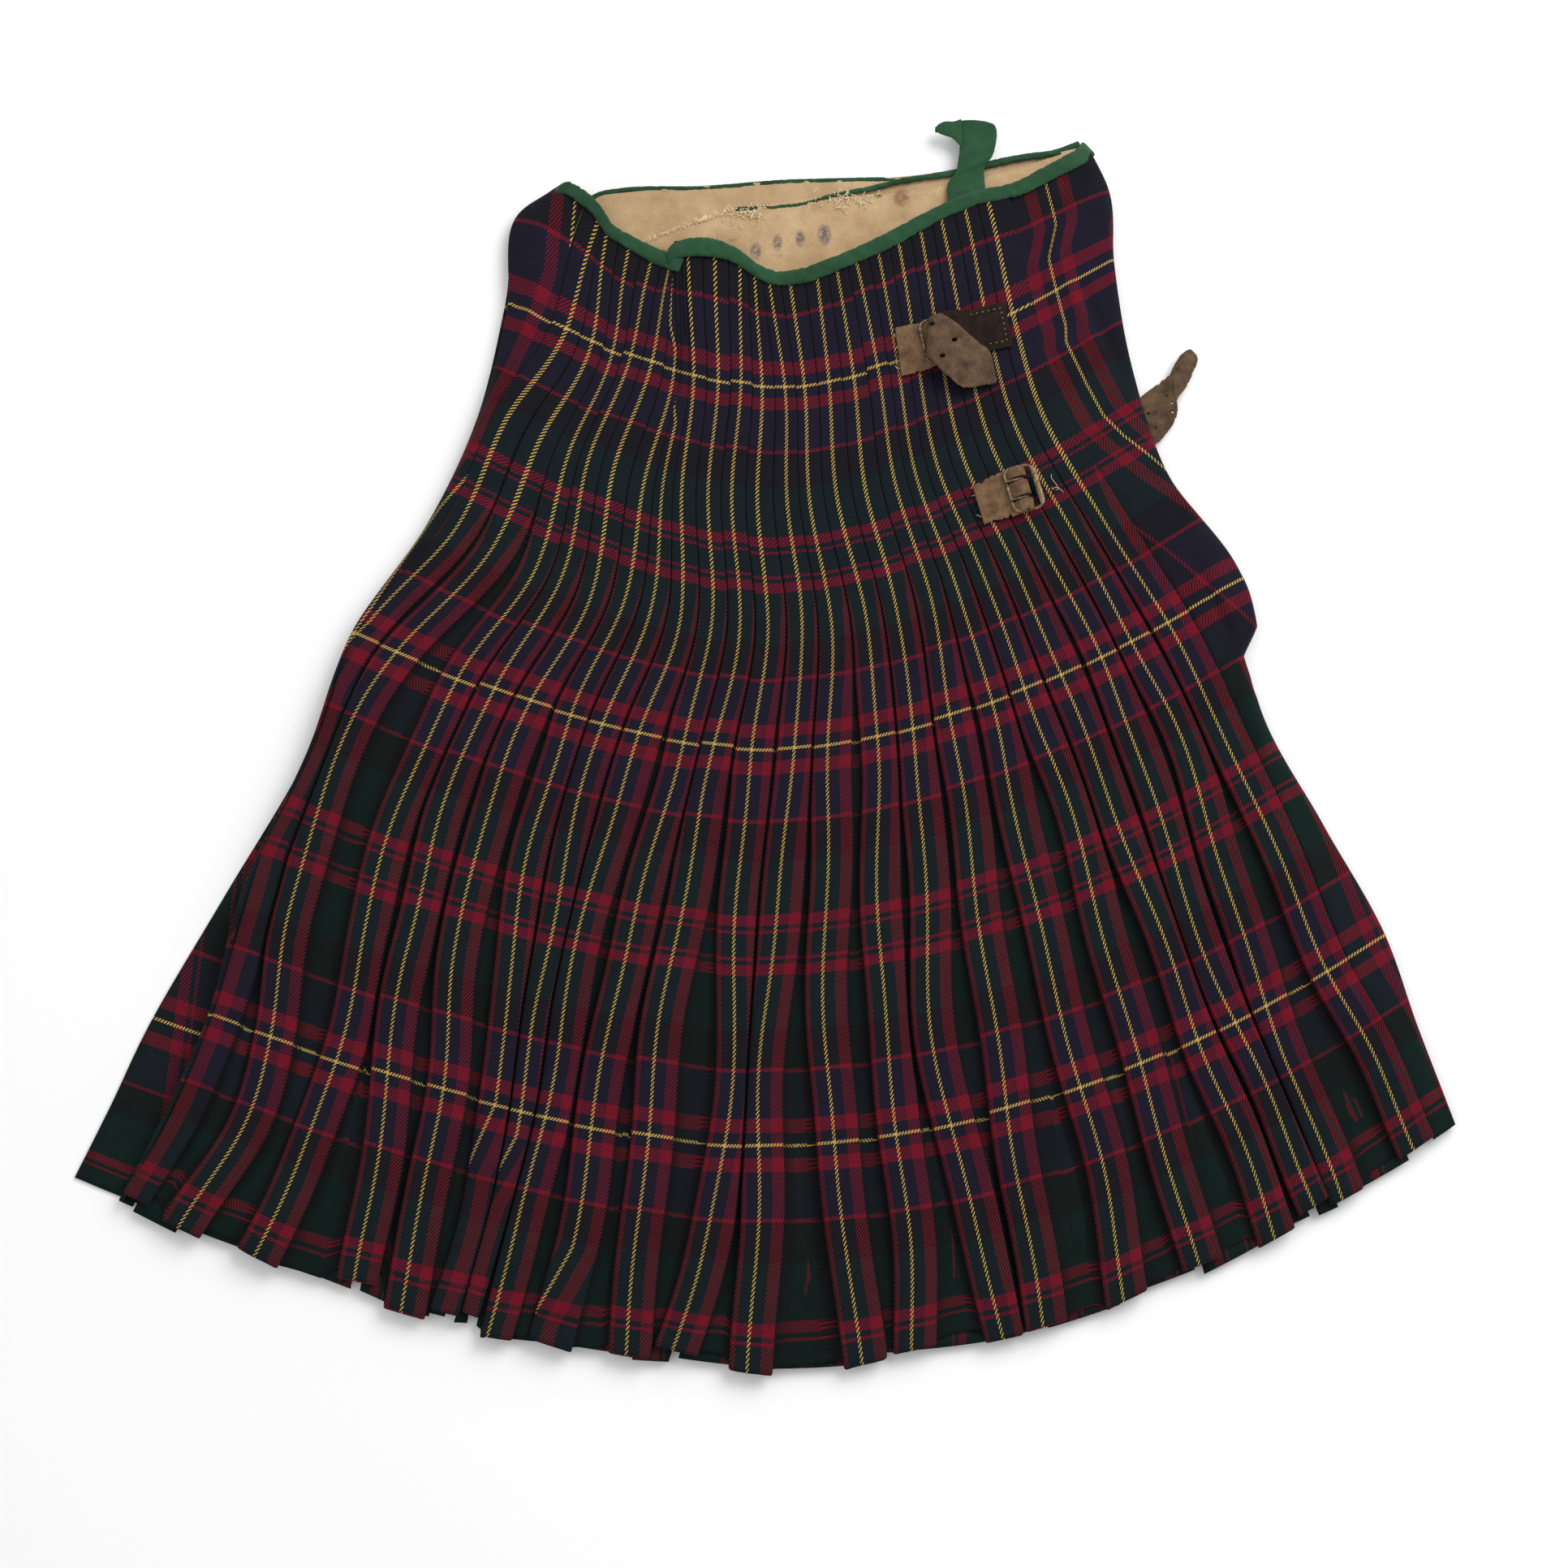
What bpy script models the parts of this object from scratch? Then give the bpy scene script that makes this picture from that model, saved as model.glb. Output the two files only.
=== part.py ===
"""Scottish kilt of military tartan, lying flat with its pleated back uppermost.

Run with: blender --background --python part.py, or from Blender's text editor.
Units are metres, +Z up. The kilt lies on z = 0 with its waist towards +Y and its hem towards -Y.
The origin is at the middle of the floor that it covers. Tables are in millimetres.
Four layers lie on each other: over apron, under apron, and the pleated back with its many folds.
"""

import math

import bmesh
import bpy
import numpy as np
from mathutils import Matrix, Vector

MM = 0.001
GAP = 0.3  # between pieces that touch, mm

# Driving sizes, mm
CLOTH = 1.4  # wall of an apron
LINING = 0.8  # wall of the drill lining
TAPE = 1.2  # wall of the binding tape and hanger loop
BINDING_WIDTH = 10.0  # what shows of the tape along the back's waist
APRON_BINDING_WIDTH = 5.0
LEATHER = 1.3
STRAP_WIDTH = 27.0
PLEATS_SHOWN = 22
FACE_LEFT, FACE_RIGHT = 9.6, 13.2  # each pleat's face, either side of its yellow line
LIP = 7.0  # how far the folded side of the back reaches in over the aprons

# Heights of the layers above the floor, mm
OVER_APRON_Z = 0.0
OVER_LINING_Z = OVER_APRON_Z + CLOTH + GAP
UNDER_APRON_Z = OVER_LINING_Z + LINING + GAP
UNDER_LINING_Z = UNDER_APRON_Z + CLOTH + GAP
BACK_Z = UNDER_LINING_Z + LINING + GAP

# Sections across the back, one for each distance down the cloth from the waist tape.
# A section dips to (mid_x, mid_y) and rises to each side as a power of the distance from there.
# first and last are where the second and the last pleats' yellow lines lie.
# crown is the height of the pleats above the floor, and step is how far each one stands proud.
SECTION_COLUMNS = (
    "down", "mid_x", "mid_y",
    "left_x", "left_rise", "left_power",
    "right_x", "right_rise", "right_power",
    "first", "last", "crown", "step",
)
SECTIONS = (
    (0, 5, 257, -128, 61, 1.50, 190, 81, 1.18, -93, 126, 13.2, 0.5),
    (22, 6, 236, -147, 67, 1.60, 199, 82, 1.20, -96, 131, 13.6, 0.5),
    (66, 10, 192, -151, 55, 1.80, 201, 82, 1.50, -101, 140, 13.8, 0.5),
    (140, 6, 119, -166, 59, 1.70, 210, 86, 1.60, -130, 157, 13.8, 0.6),
    (212, 0, 47, -193, 65, 1.65, 229, 92, 1.70, -156, 188, 13.6, 0.9),
    (284, -3, -24, -234, 69, 1.60, 268, 102, 1.75, -206, 223, 13.6, 1.6),
    (350, -8, -91, -255, 68, 1.55, 273, 99, 1.80, -236, 250, 13.4, 2.2),
    (430, -12, -172, -288, 69, 1.50, 306, 108, 1.90, -256, 277, 13.2, 2.8),
    (502, -15, -244, -303, 72, 1.50, 337, 117, 2.00, -269, 302, 13.0, 3.2),
    (560, -8, -301, -322, 79, 1.60, 352, 123, 2.00, -279, 325, 12.6, 3.4),
    (617, 0, -357, -345, 85, 1.75, 369, 128, 2.00, -311, 347, 12.0, 3.4),
)

# Pleats, left to right: how far each yellow line has slipped from even spacing at the waist, yoke,
# hip, knee and hem, how far its top is pulled down the body, and how far its end hangs past the hem.
PLEAT_COLUMNS = ("waist", "yoke", "hip", "knee", "hem", "sag", "drop")
PLEAT_STATIONS = {"waist": 0, "yoke": 66, "hip": 284, "knee": 502, "hem": 617}
PLEATS = (
    (7, -3, -1, 3, 4, 0, -4),
    (0, 0, 0, 0, 0, 6, 3),
    (2, 0, 12, 10, 6, 9, 0),
    (5, -2, 11, 10, 28, 12, -3),
    (5, -2, 11, 8, 20, 12, 5),
    (-3, -1, 10, 11, 11, 6, 0),
    (-13, -8, 8, -5, -9, -2, -4),
    (-20, -14, 7, -22, -33, -8, 6),
    (-15, -12, 8, -23, -35, -9, 5),
    (-11, -11, 6, -23, -26, -6, 2),
    (-14, -11, 4, -11, -34, -2, -4),
    (-17, -10, 5, -20, -29, 0, 5),
    (-16, -11, 5, -10, -1, 0, 4),
    (-11, -9, 8, -5, -7, 2, 1),
    (-11, -7, 7, -4, 6, 2, 4),
    (-11, -5, 8, -3, -4, 2, 1),
    (-9, -6, 7, 8, 6, 2, 2),
    (-8, -7, 6, 13, 11, 0, 0),
    (-6, -6, 5, 15, 22, 0, 3),
    (-5, -4, 4, 6, 9, 0, -2),
    (-2, -2, 2, -4, -10, 0, 3),
    (0, 0, 0, 0, 0, 0, 1),
)

# Sections across the over apron, from its bound top edge to its hem, each through three points.
APRON_COLUMNS = ("left_x", "left_y", "mid_x", "mid_y", "right_x", "right_y")
OVER_APRON = (
    (-112, 316, 30, 327, 183, 348),
    (-146, 300, 30, 300, 182, 326),
    (-153, 247, 10, 192, 190, 272),
    (-167, 178, 6, 119, 200, 200),
    (-194, 112, 0, 47, 219, 132),
    (-235, 45, -3, -24, 256, 64),
    (-256, -24, -8, -91, 264, 4),
    (-297, -103, -12, -172, 296, -66),
    (-333, -172, -15, -240, 327, -132),
    (-353, -220, -8, -296, 342, -182),
    (-370, -259, 0, -350, 358, -232),
)
UNDER_APRON = (
    (-15, 304, 60, 312, 181, 341),
    (-68, 282, 50, 288, 182, 322),
    (-120, 236, 10, 184, 190, 268),
    (-140, 166, 6, 112, 200, 196),
    (-166, 96, 0, 42, 219, 128),
    (-205, 30, -3, -28, 256, 60),
    (-228, -36, -8, -95, 264, 0),
    (-262, -110, -12, -174, 296, -70),
    (-284, -178, -15, -242, 327, -136),
    (-300, -226, -8, -297, 342, -186),
    (-318, -262, 0, -348, 358, -236),
)
# The strips of drill lining that the open waist shows, on the inner face of each apron.
OVER_LINING = (
    (-108, 313, 30, 325.5, 181, 345.5),
    (-124, 286, 20, 268, 180, 318),
    (-130, 262, 14, 216, 186, 280),
)
UNDER_LINING = (
    (-12, 302, 60, 310.5, 179, 339),
    (-64, 277, 50, 270, 180, 312),
    (-96, 252, 14, 206, 186, 272),
)

# The hanger loop's tape: the middle of each cross-line, its height, half its width and its turn.
LOOP_COLUMNS = ("x", "y", "z", "half", "turn")
HANGER_LOOP = (
    (116, 319.5, 8.2, 12.0, 12),
    (118, 325, 8.6, 11.5, 6),
    (121, 332, 9.0, 11.0, 2),
    (123, 341, 9.5, 10.5, 0),
    (122, 351, 9.6, 10.5, -2),
    (119, 355, 7.5, 10.0, -14),
    (112, 351, 4.5, 9.0, -36),
    (104, 347, 2.4, 7.5, -58),
)

# The side strap: the middle of each cross-line, half its width, its turn and how far it rolls up.
STRAP_COLUMNS = ("x", "y", "z", "half", "turn", "roll")
SIDE_STRAP = (
    (223.5, 168.5, 1.5, 17.0, -69, 0),
    (229, 177, 1.9, 16.0, -64, 0),
    (234, 186.5, 3.2, 13.7, -62, 6),
    (239, 196, 6.2, 13.6, -74, 18),
    (245, 205.5, 6.4, 11.0, -76, 22),
    (250.5, 213, 5.0, 5.8, -60, 22),
)

# The fastened strap, from its sewn end to its tip: the two edges of each cross-line, and its height.
# It goes over the buckle's bar, folds back at the far side of the frame, and lies on itself.
UPPER_STRAP_COLUMNS = ("low_x", "low_y", "high_x", "high_y", "z")
UPPER_STRAP = (
    (142, 216, 138, 244, 15.55),
    (127, 213, 123, 241, 15.55),
    (118, 211.5, 114, 239.5, 16.1),
    (112, 210.3, 108.4, 238, 20.5),
    (106, 209, 102.5, 236.3, 21.2),
    (100, 207, 97.5, 235, 21.8),
    (93, 205, 93.5, 234.5, 22.0),
    (88.5, 202.5, 94, 236, 22.9),
    (87.5, 202, 96, 236.8, 23.9),
    (91, 199.5, 100, 235.5, 24.4),
    (98, 194, 108, 229.5, 23.9),
    (105, 189, 118, 222, 22.6),
    (112, 184, 128.5, 214, 19.0),
    (125, 186.5, 130, 203, 17.2),
    (130.5, 188.5, 131, 192, 17.0),
)

# The two buckles: the middle of the bar that the chape holds, the turn about Z, and the cloth there.
BUCKLES = {
    "upper": {"x": 96.5, "y": 218.5, "turn": 12, "cloth": 14.6},
    "lower": {"x": 143.5, "y": 128.0, "turn": 15, "cloth": 14.6},
}
FRAME_LEFT, FRAME_RIGHT, FRAME_HALF_HEIGHT = -8.0, 9.0, 14.2  # the frame's wire, from the bar
FRAME_CORNER = 4.5
WIRE = 0.8  # radius of the frame's wire and of the bar
FLAT_BAR_HALF = 1.7  # half the width of the frame's flat far side
PRONG_OFFSETS = {"upper": 5.6, "lower": -5.6}  # the two prongs, along the bar
PRONG_RADIUS = 0.6
SLOT_WIDTH = 2.2
CHAPE_DEPTH = 2.4  # both of its layers
FOLD_HALF_WIDTH = 12.2  # the chape is cut narrower where it passes between the frame's wires


def rows_of(columns, table):
    """The table's columns as named arrays."""
    return dict(zip(columns, np.array(table, float).T))


def smooth(keys, values, at):
    """A cubic through the values, whose slope at each one is that of its neighbours."""
    keys, values, at = (np.asarray(item, float) for item in (keys, values, at))
    slopes = np.gradient(values, keys)
    i = np.clip(np.searchsorted(keys, at) - 1, 0, len(keys) - 2)
    span = keys[i + 1] - keys[i]
    t = (at - keys[i]) / span
    ends = values[i] * (1 + 2 * t) * (1 - t) ** 2 + values[i + 1] * t**2 * (3 - 2 * t)
    return ends + span * (slopes[i] * t * (1 - t) ** 2 - slopes[i + 1] * t**2 * (1 - t))


SECTION = rows_of(SECTION_COLUMNS, SECTIONS)
PLEAT = rows_of(PLEAT_COLUMNS, PLEATS)


def section(name, down):
    """One column of the sections, read at a distance down the cloth."""
    return smooth(SECTION["down"], SECTION[name], down)


def fall(x, down):
    """The y of the section curve at x: its middle, plus a rise by a power of the distance."""
    left = np.clip((section("mid_x", down) - x) / (section("mid_x", down) - section("left_x", down)), 0, 2)
    right = np.clip((x - section("mid_x", down)) / (section("right_x", down) - section("mid_x", down)), 0, 2)
    rise = section("left_rise", down) * left ** section("left_power", down)
    rise = rise + section("right_rise", down) * right ** section("right_power", down)
    return section("mid_y", down) + rise


def sagged(x, down):
    """How far the waist edge is pulled down the body at x, fading out down the cloth."""
    lines = yellow_lines(down)
    near = np.mean([np.interp(x + step, lines, PLEAT["sag"]) for step in np.linspace(-12, 12, 9)], axis=0)
    return near * np.clip(1 - down / 66, 0, 1)


def yellow_lines(down):
    """The x of each pleat's yellow line: an even fan, plus what it has slipped."""
    stations = list(PLEAT_STATIONS.values())
    slips = np.stack([PLEAT[name] for name in PLEAT_STATIONS])
    slipped = np.array([smooth(stations, slips[:, i], down) for i in range(PLEATS_SHOWN)])
    first, last = section("first", down), section("last", down)
    even = first + (last - first) * (np.arange(PLEATS_SHOWN) - 1) / (PLEATS_SHOWN - 2)
    lines = even + slipped
    lines[0] = max(lines[0], section("left_x", down) + 5)
    return lines


def back_top(down):
    """The top of the back at one section, left to right: rows of x, y and height.

    The plain side, then four points for each pleat (valley, face, face, valley), then the plain side.
    """
    lines = yellow_lines(down)
    left_x, right_x = section("left_x", down), section("right_x", down)
    crown, step = section("crown", down), section("step", down)
    edges = np.concatenate([[left_x], lines, [right_x]])
    room = np.diff(edges)
    starts = lines - np.minimum(FACE_LEFT, 0.43 * room[:-1])
    ends = lines + np.minimum(FACE_RIGHT, 0.50 * room[1:])
    side = 0.7 * (crown - BACK_Z)
    points = [
        (left_x + 0.2, BACK_Z + 0.35 * side),
        (left_x + 0.14 * (starts[0] - left_x) + 0.5, BACK_Z + 0.8 * side),
        (left_x + 0.55 * (starts[0] - left_x) + 0.6, BACK_Z + side),
    ]
    for i in range(PLEATS_SHOWN):
        settle = 1.0 if 0 < i < PLEATS_SHOWN - 1 else 0.8
        top = BACK_Z + settle * (crown - BACK_Z)
        points += [
            (starts[i] - 0.2, top - step),
            (starts[i] + 0.3, top - 0.35 * step),
            (ends[i] - 0.3, top + 0.3 * step),
            (ends[i] + 0.15, top - step),
        ]
    plain = right_x - ends[-1]
    for along, height in ((0.3, 0.86), (0.6, 0.8), (0.85, 0.62)):
        points.append((ends[-1] + along * plain, BACK_Z + height * (crown - BACK_Z)))
    points.append((right_x - 0.2, BACK_Z + 0.25 * (crown - BACK_Z)))
    x, z = np.array(points).T
    y = fall(x, down)
    per_point = np.concatenate([np.zeros(3), np.repeat(np.arange(PLEATS_SHOWN), 4), np.full(4, PLEATS_SHOWN - 1)])
    which = per_point.astype(int)
    y = y - sagged(x, down)
    hang = np.clip((down - 560) / 57, 0, 1) ** 2
    return np.stack([x, y - PLEAT["drop"][which] * hang, z], axis=1)


def back_bottom(down):
    """The underside at one section, right to left: a lip folded in at each side, and a flat between."""
    left_x, right_x = section("left_x", down), section("right_x", down)
    inner = np.linspace(right_x - LIP, left_x + LIP, 45)
    x = np.concatenate([[right_x - 0.6, right_x - LIP], inner, [left_x + LIP, left_x + 0.8]])
    left_lip = OVER_APRON_Z + CLOTH + GAP
    z = np.concatenate([[0.0, 0.0], np.full(45, BACK_Z), [left_lip, left_lip]])
    return np.stack([x, fall(x, down) - sagged(x, down), z], axis=1)


def squeezed(top, depth, inset):
    """The top of a section brought down to a share of its depth and drawn in along the cloth."""
    moved = top.copy()
    moved[:, 2] = BACK_Z + (moved[:, 2] - BACK_Z) * depth
    moved[:, 1] += inset
    return moved


def clear_scene():
    for obj in list(bpy.data.objects):
        bpy.data.objects.remove(obj, do_unlink=True)


def make_collection(name, hidden=False):
    collection = bpy.data.collections.new(name)
    bpy.context.scene.collection.children.link(collection)
    collection.hide_render = hidden
    return collection


def make_material(name, colour, roughness, metallic=0.0):
    material = bpy.data.materials.new(name)
    material.use_nodes = True
    shader = material.node_tree.nodes["Principled BSDF"]
    shader.inputs["Base Color"].default_value = (*colour, 1)
    shader.inputs["Roughness"].default_value = roughness
    shader.inputs["Metallic"].default_value = metallic
    return material


def add_mesh(name, points, faces, material, collection, smooth_angle=40):
    """An object from points in millimetres and faces, with its normals made to point outwards."""
    mesh = bpy.data.meshes.new(name)
    mesh.from_pydata([tuple(point) for point in np.asarray(points) * MM], [], faces)
    shape = bmesh.new()
    shape.from_mesh(mesh)
    bmesh.ops.recalc_face_normals(shape, faces=shape.faces)
    shape.to_mesh(mesh)
    shape.free()
    mesh.materials.append(material)
    mesh.shade_smooth()
    mesh.set_sharp_from_angle(angle=math.radians(smooth_angle))
    obj = bpy.data.objects.new(name, mesh)
    collection.objects.link(obj)
    return obj


def ring_faces(rings, count, closed=False):
    """Quads between rings of points, which follow each other, and back to the first if closed."""
    faces = []
    for ring in range(rings if closed else rings - 1):
        following = (ring + 1) % rings
        for i in range(count):
            j = (i + 1) % count
            faces.append((ring * count + i, ring * count + j, following * count + j, following * count + i))
    return faces


def zip_faces(upper, lower, points):
    """Triangles between two rows of point numbers that both run along +X, joined where nearest."""
    faces, i, j = [], 0, 0
    while i < len(upper) - 1 or j < len(lower) - 1:
        step_upper = j == len(lower) - 1 or (
            i < len(upper) - 1 and points[upper[i + 1]][0] <= points[lower[j + 1]][0]
        )
        if step_upper:
            faces.append((upper[i], upper[i + 1], lower[j]))
            i += 1
        else:
            faces.append((upper[i], lower[j + 1], lower[j]))
            j += 1
    return faces


def add_slab(name, columns, table, base, thickness, material, collection, across=11, rows=1):
    """A wall of cloth through sections that each pass through three points, flat on its layer."""
    section_rows = rows_of(columns, table)
    keys = np.arange(len(table), dtype=float)
    rings = []
    for key in np.linspace(0, len(table) - 1, (len(table) - 1) * rows + 1):
        row = {column: float(smooth(keys, section_rows[column], key)) for column in columns}
        x = np.linspace(row["left_x"], row["right_x"], across)
        left = np.clip((row["mid_x"] - x) / (row["mid_x"] - row["left_x"]), 0, 1)
        right = np.clip((x - row["mid_x"]) / (row["right_x"] - row["mid_x"]), 0, 1)
        y = row["mid_y"] + (row["left_y"] - row["mid_y"]) * left**1.7
        y = y + (row["right_y"] - row["mid_y"]) * right**1.8
        lower = np.stack([x, y, np.full(across, base)], axis=1)
        upper = lower + (0, 0, thickness)
        rings.append(np.concatenate([upper, lower[::-1]]))
    count = 2 * across
    faces = ring_faces(len(rings), count)
    for start in (0, (len(rings) - 1) * count):
        for i in range(across - 1):
            mirror = count - 1 - i
            faces.append((start + i, start + i + 1, start + mirror - 1, start + mirror))
    return add_mesh(name, np.concatenate(rings), faces, material, collection)


def add_back(material, collection):
    """The pleated back: rings of top and underside points, with a grooved end at the hem."""
    rings = []
    downs = (0, 22, 44, 66, 103, 140, 176, 212, 248, 284, 317, 350, 390, 430, 466, 502, 540, 580, 617)
    for down in downs:
        rings.append(np.concatenate([back_top(down), back_bottom(down)]))
    hem_top, hem_bottom = back_top(downs[-1]), back_bottom(downs[-1])
    # The ends of the folded layers show at the hem as two grooves between three edges.
    for depth, inset in ((0.72, 0.2), (0.66, 1.6), (0.40, 1.4), (0.34, -0.6)):
        rings.append(np.concatenate([squeezed(hem_top, depth, inset), hem_bottom]))
    count, top_count = len(rings[0]), len(hem_top)
    points = np.concatenate(rings)
    faces = ring_faces(len(rings), count)
    for start in (0, (len(rings) - 1) * count):
        upper = list(range(start, start + top_count))
        lower = list(range(start + count - 1, start + top_count - 1, -1))
        faces += zip_faces(upper, lower, points)
    return add_mesh("back_pleats", points, faces, material, collection)


def add_back_binding(material, collection):
    """Green tape folded over the back's waist edge: the waist section carried on by its own width."""
    top = back_top(0.0)
    edge = np.concatenate([top[1:2], top[3:-4:2], top[-4:-1]])
    level = np.stack([edge[:, 0], fall(edge[:, 0], 0.0)], axis=1)
    outward = np.gradient(level, axis=0)
    outward = np.stack([-outward[:, 1], outward[:, 0]], axis=1)
    outward /= np.linalg.norm(outward, axis=1)[:, None]
    # Around the tape's section: how far out from the cloth's edge, and the height.
    steep = np.abs(np.gradient(sagged(edge[:, 0], 0.0), edge[:, 0]))
    nears = 2 * GAP + np.minimum(2.2 * steep, 4.0)
    profile = (
        (0.0, 13.6), (0.55, 13.4), (0.9, 12.0), (1.0, 9.6), (1.0, 7.2), (0.9, BACK_Z + 0.2), (0.0, BACK_Z + 0.2),
    )
    ends = np.linspace(0, 1, len(edge))
    lower = np.clip(np.minimum(ends, 1 - ends) * 8, 0.72, 1)
    rings = []
    for point, direction, share, near in zip(edge, outward, lower, nears):
        ring = []
        for out, height in profile:
            spot = point[:2] + direction * (near + (BINDING_WIDTH - near) * out)
            ring.append((spot[0], spot[1], BACK_Z + 0.2 + (height - BACK_Z - 0.2) * share))
        rings.append(ring)
    count = len(profile)
    faces = ring_faces(len(rings), count)
    faces += [tuple(range(count)), tuple(range((len(rings) - 1) * count, len(rings) * count))]
    return add_mesh("back_waist_binding", np.concatenate(rings), faces, material, collection)


def add_edge_binding(name, row, base, material, collection):
    """Tape along an apron's top edge: its first section carried on by the tape's width."""
    values = dict(zip(APRON_COLUMNS, row))
    x = np.linspace(values["left_x"], values["right_x"], 13)
    left = np.clip((values["mid_x"] - x) / (values["mid_x"] - values["left_x"]), 0, 1)
    right = np.clip((x - values["mid_x"]) / (values["right_x"] - values["mid_x"]), 0, 1)
    y = values["mid_y"] + (values["left_y"] - values["mid_y"]) * left**1.7
    y = y + (values["right_y"] - values["mid_y"]) * right**1.8
    rings = []
    for out, low, high in ((GAP, 0.0, 1.0), (0.7 * APRON_BINDING_WIDTH, 0.0, 1.0), (APRON_BINDING_WIDTH, 0.3, 0.7)):
        lower = np.stack([x, y + out, np.full(13, base + low * CLOTH)], axis=1)
        upper = np.stack([x, y + out, np.full(13, base + high * CLOTH)], axis=1)
        rings.append(np.concatenate([upper, lower[::-1]]))
    count = 26
    faces = ring_faces(len(rings), count)
    for start in (0, (len(rings) - 1) * count):
        for i in range(12):
            mirror = count - 1 - i
            faces.append((start + i, start + i + 1, start + mirror - 1, start + mirror))
    return add_mesh(name, np.concatenate(rings), faces, material, collection)


def add_ribbon(name, columns, table, thickness, material, collection, steps=3, across=5):
    """A strip of tape or leather carried along its middle line, with its width, turn and roll."""
    rows = rows_of(columns, table)
    keys = np.arange(len(table), dtype=float)
    rings = []
    for key in np.linspace(0, len(table) - 1, (len(table) - 1) * steps + 1):
        row = {column: float(smooth(keys, rows[column], key)) for column in columns}
        turn, roll = math.radians(row["turn"]), math.radians(row.get("roll", 0.0))
        side = np.array([math.cos(turn) * math.cos(roll), math.sin(turn) * math.cos(roll), math.sin(roll)])
        away = np.array([-math.cos(turn) * math.sin(roll), -math.sin(turn) * math.sin(roll), math.cos(roll)])
        middle = np.array([row["x"], row["y"], row["z"]])
        offsets = np.linspace(-row["half"], row["half"], across)[:, None]
        upper = middle + offsets * side + away * thickness / 2
        lower = middle + offsets * side - away * thickness / 2
        rings.append(np.concatenate([upper, lower[::-1]]))
    count = 2 * across
    faces = ring_faces(len(rings), count)
    for start in (0, (len(rings) - 1) * count):
        for i in range(across - 1):
            mirror = count - 1 - i
            faces.append((start + i, start + i + 1, start + mirror - 1, start + mirror))
    return add_mesh(name, np.concatenate(rings), faces, material, collection)


def tube_points(path, sideways, radii, sides=8):
    """Rings of a tube along a path: radii across the path in its plane, and out of that plane."""
    along = np.gradient(path, axis=0)
    along /= np.linalg.norm(along, axis=1)[:, None]
    normal = np.cross(along, sideways)
    angles = np.arange(sides) * 2 * math.pi / sides
    rings = []
    for point, out, (across, deep) in zip(path, normal, radii):
        rings.append(point + np.cos(angles)[:, None] * out * across + np.sin(angles)[:, None] * sideways * deep)
    return np.concatenate(rings)


def frame_path():
    """The buckle frame's rounded rectangle, as one turn of points around it."""
    points = []
    half = FRAME_HALF_HEIGHT - WIRE
    left, right = FRAME_LEFT, FRAME_RIGHT
    corners = ((right, half, 0), (left, half, 90), (left, -half, 180), (right, -half, 270))
    for x, y, start in corners:
        centre = (x - math.copysign(FRAME_CORNER, x), y - math.copysign(FRAME_CORNER, y))
        for angle in np.radians(np.linspace(start, start + 90, 5)):
            points.append((centre[0] + FRAME_CORNER * math.cos(angle), centre[1] + FRAME_CORNER * math.sin(angle), 0))
    return np.array(points)


def add_cylinder(name, radius, length, sides, collection, material):
    """A cylinder along Y, centred on its origin."""
    shape = bmesh.new()
    turn = Matrix.Rotation(math.radians(90), 4, "X")
    bmesh.ops.create_cone(
        shape, cap_ends=True, segments=sides, radius1=radius * MM, radius2=radius * MM, depth=length * MM, matrix=turn
    )
    mesh = bpy.data.meshes.new(name)
    shape.to_mesh(mesh)
    shape.free()
    mesh.materials.append(material)
    obj = bpy.data.objects.new(name, mesh)
    collection.objects.link(obj)
    return obj


def add_box(name, low, high, collection, material):
    shape = bmesh.new()
    bmesh.ops.create_cube(shape, size=1)
    low, high = Vector(low) * MM, Vector(high) * MM
    bmesh.ops.scale(shape, vec=high - low, verts=shape.verts)
    bmesh.ops.translate(shape, vec=(low + high) / 2, verts=shape.verts)
    mesh = bpy.data.meshes.new(name)
    shape.to_mesh(mesh)
    shape.free()
    mesh.materials.append(material)
    obj = bpy.data.objects.new(name, mesh)
    collection.objects.link(obj)
    return obj


def boolean(target, other, operation):
    modifier = target.modifiers.new(operation.title(), "BOOLEAN")
    modifier.operation = operation
    modifier.solver = "EXACT"
    modifier.object = other
    other.hide_render = True
    other.display_type = "WIRE"


def bar_height(buckle):
    """The height of the buckle's middle bar: both layers of the chape lie below the frame."""
    return buckle["cloth"] + GAP + CHAPE_DEPTH + GAP + WIRE


def place(obj, pivot):
    obj.parent = pivot


def add_pivot(name, buckle, collection):
    """An empty on the middle of a buckle's bar, turned as the buckle lies."""
    pivot = bpy.data.objects.new(name, None)
    pivot.location = Vector((buckle["x"], buckle["y"], bar_height(buckle))) * MM
    pivot.rotation_euler = (0, 0, math.radians(buckle["turn"]))
    collection.objects.link(pivot)
    return pivot


def add_frame(name, pivot, material, collection, cutters):
    """A wire frame with a flat far side, joined to the bar across its middle."""
    path = frame_path()
    # The path closes on itself, so its tangents are taken with both ends repeated.
    wrapped = np.concatenate([path[-1:], path, path[:1]])
    flat = np.clip((wrapped[:, 0] - FRAME_RIGHT + 1.2) / 1.2, 0, 1)
    radii = [(WIRE + (FLAT_BAR_HALF - WIRE) * share, WIRE) for share in flat]
    points = tube_points(wrapped, np.array([0.0, 0.0, 1.0]), radii)[8:-8]
    frame = add_mesh(name, points, ring_faces(len(path), 8, closed=True), material, collection)
    bar = add_cylinder(name + "_bar", WIRE, 2 * (FRAME_HALF_HEIGHT - WIRE), 8, cutters, material)
    boolean(frame, bar, "UNION")
    place(frame, pivot)
    place(bar, pivot)
    return frame


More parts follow.
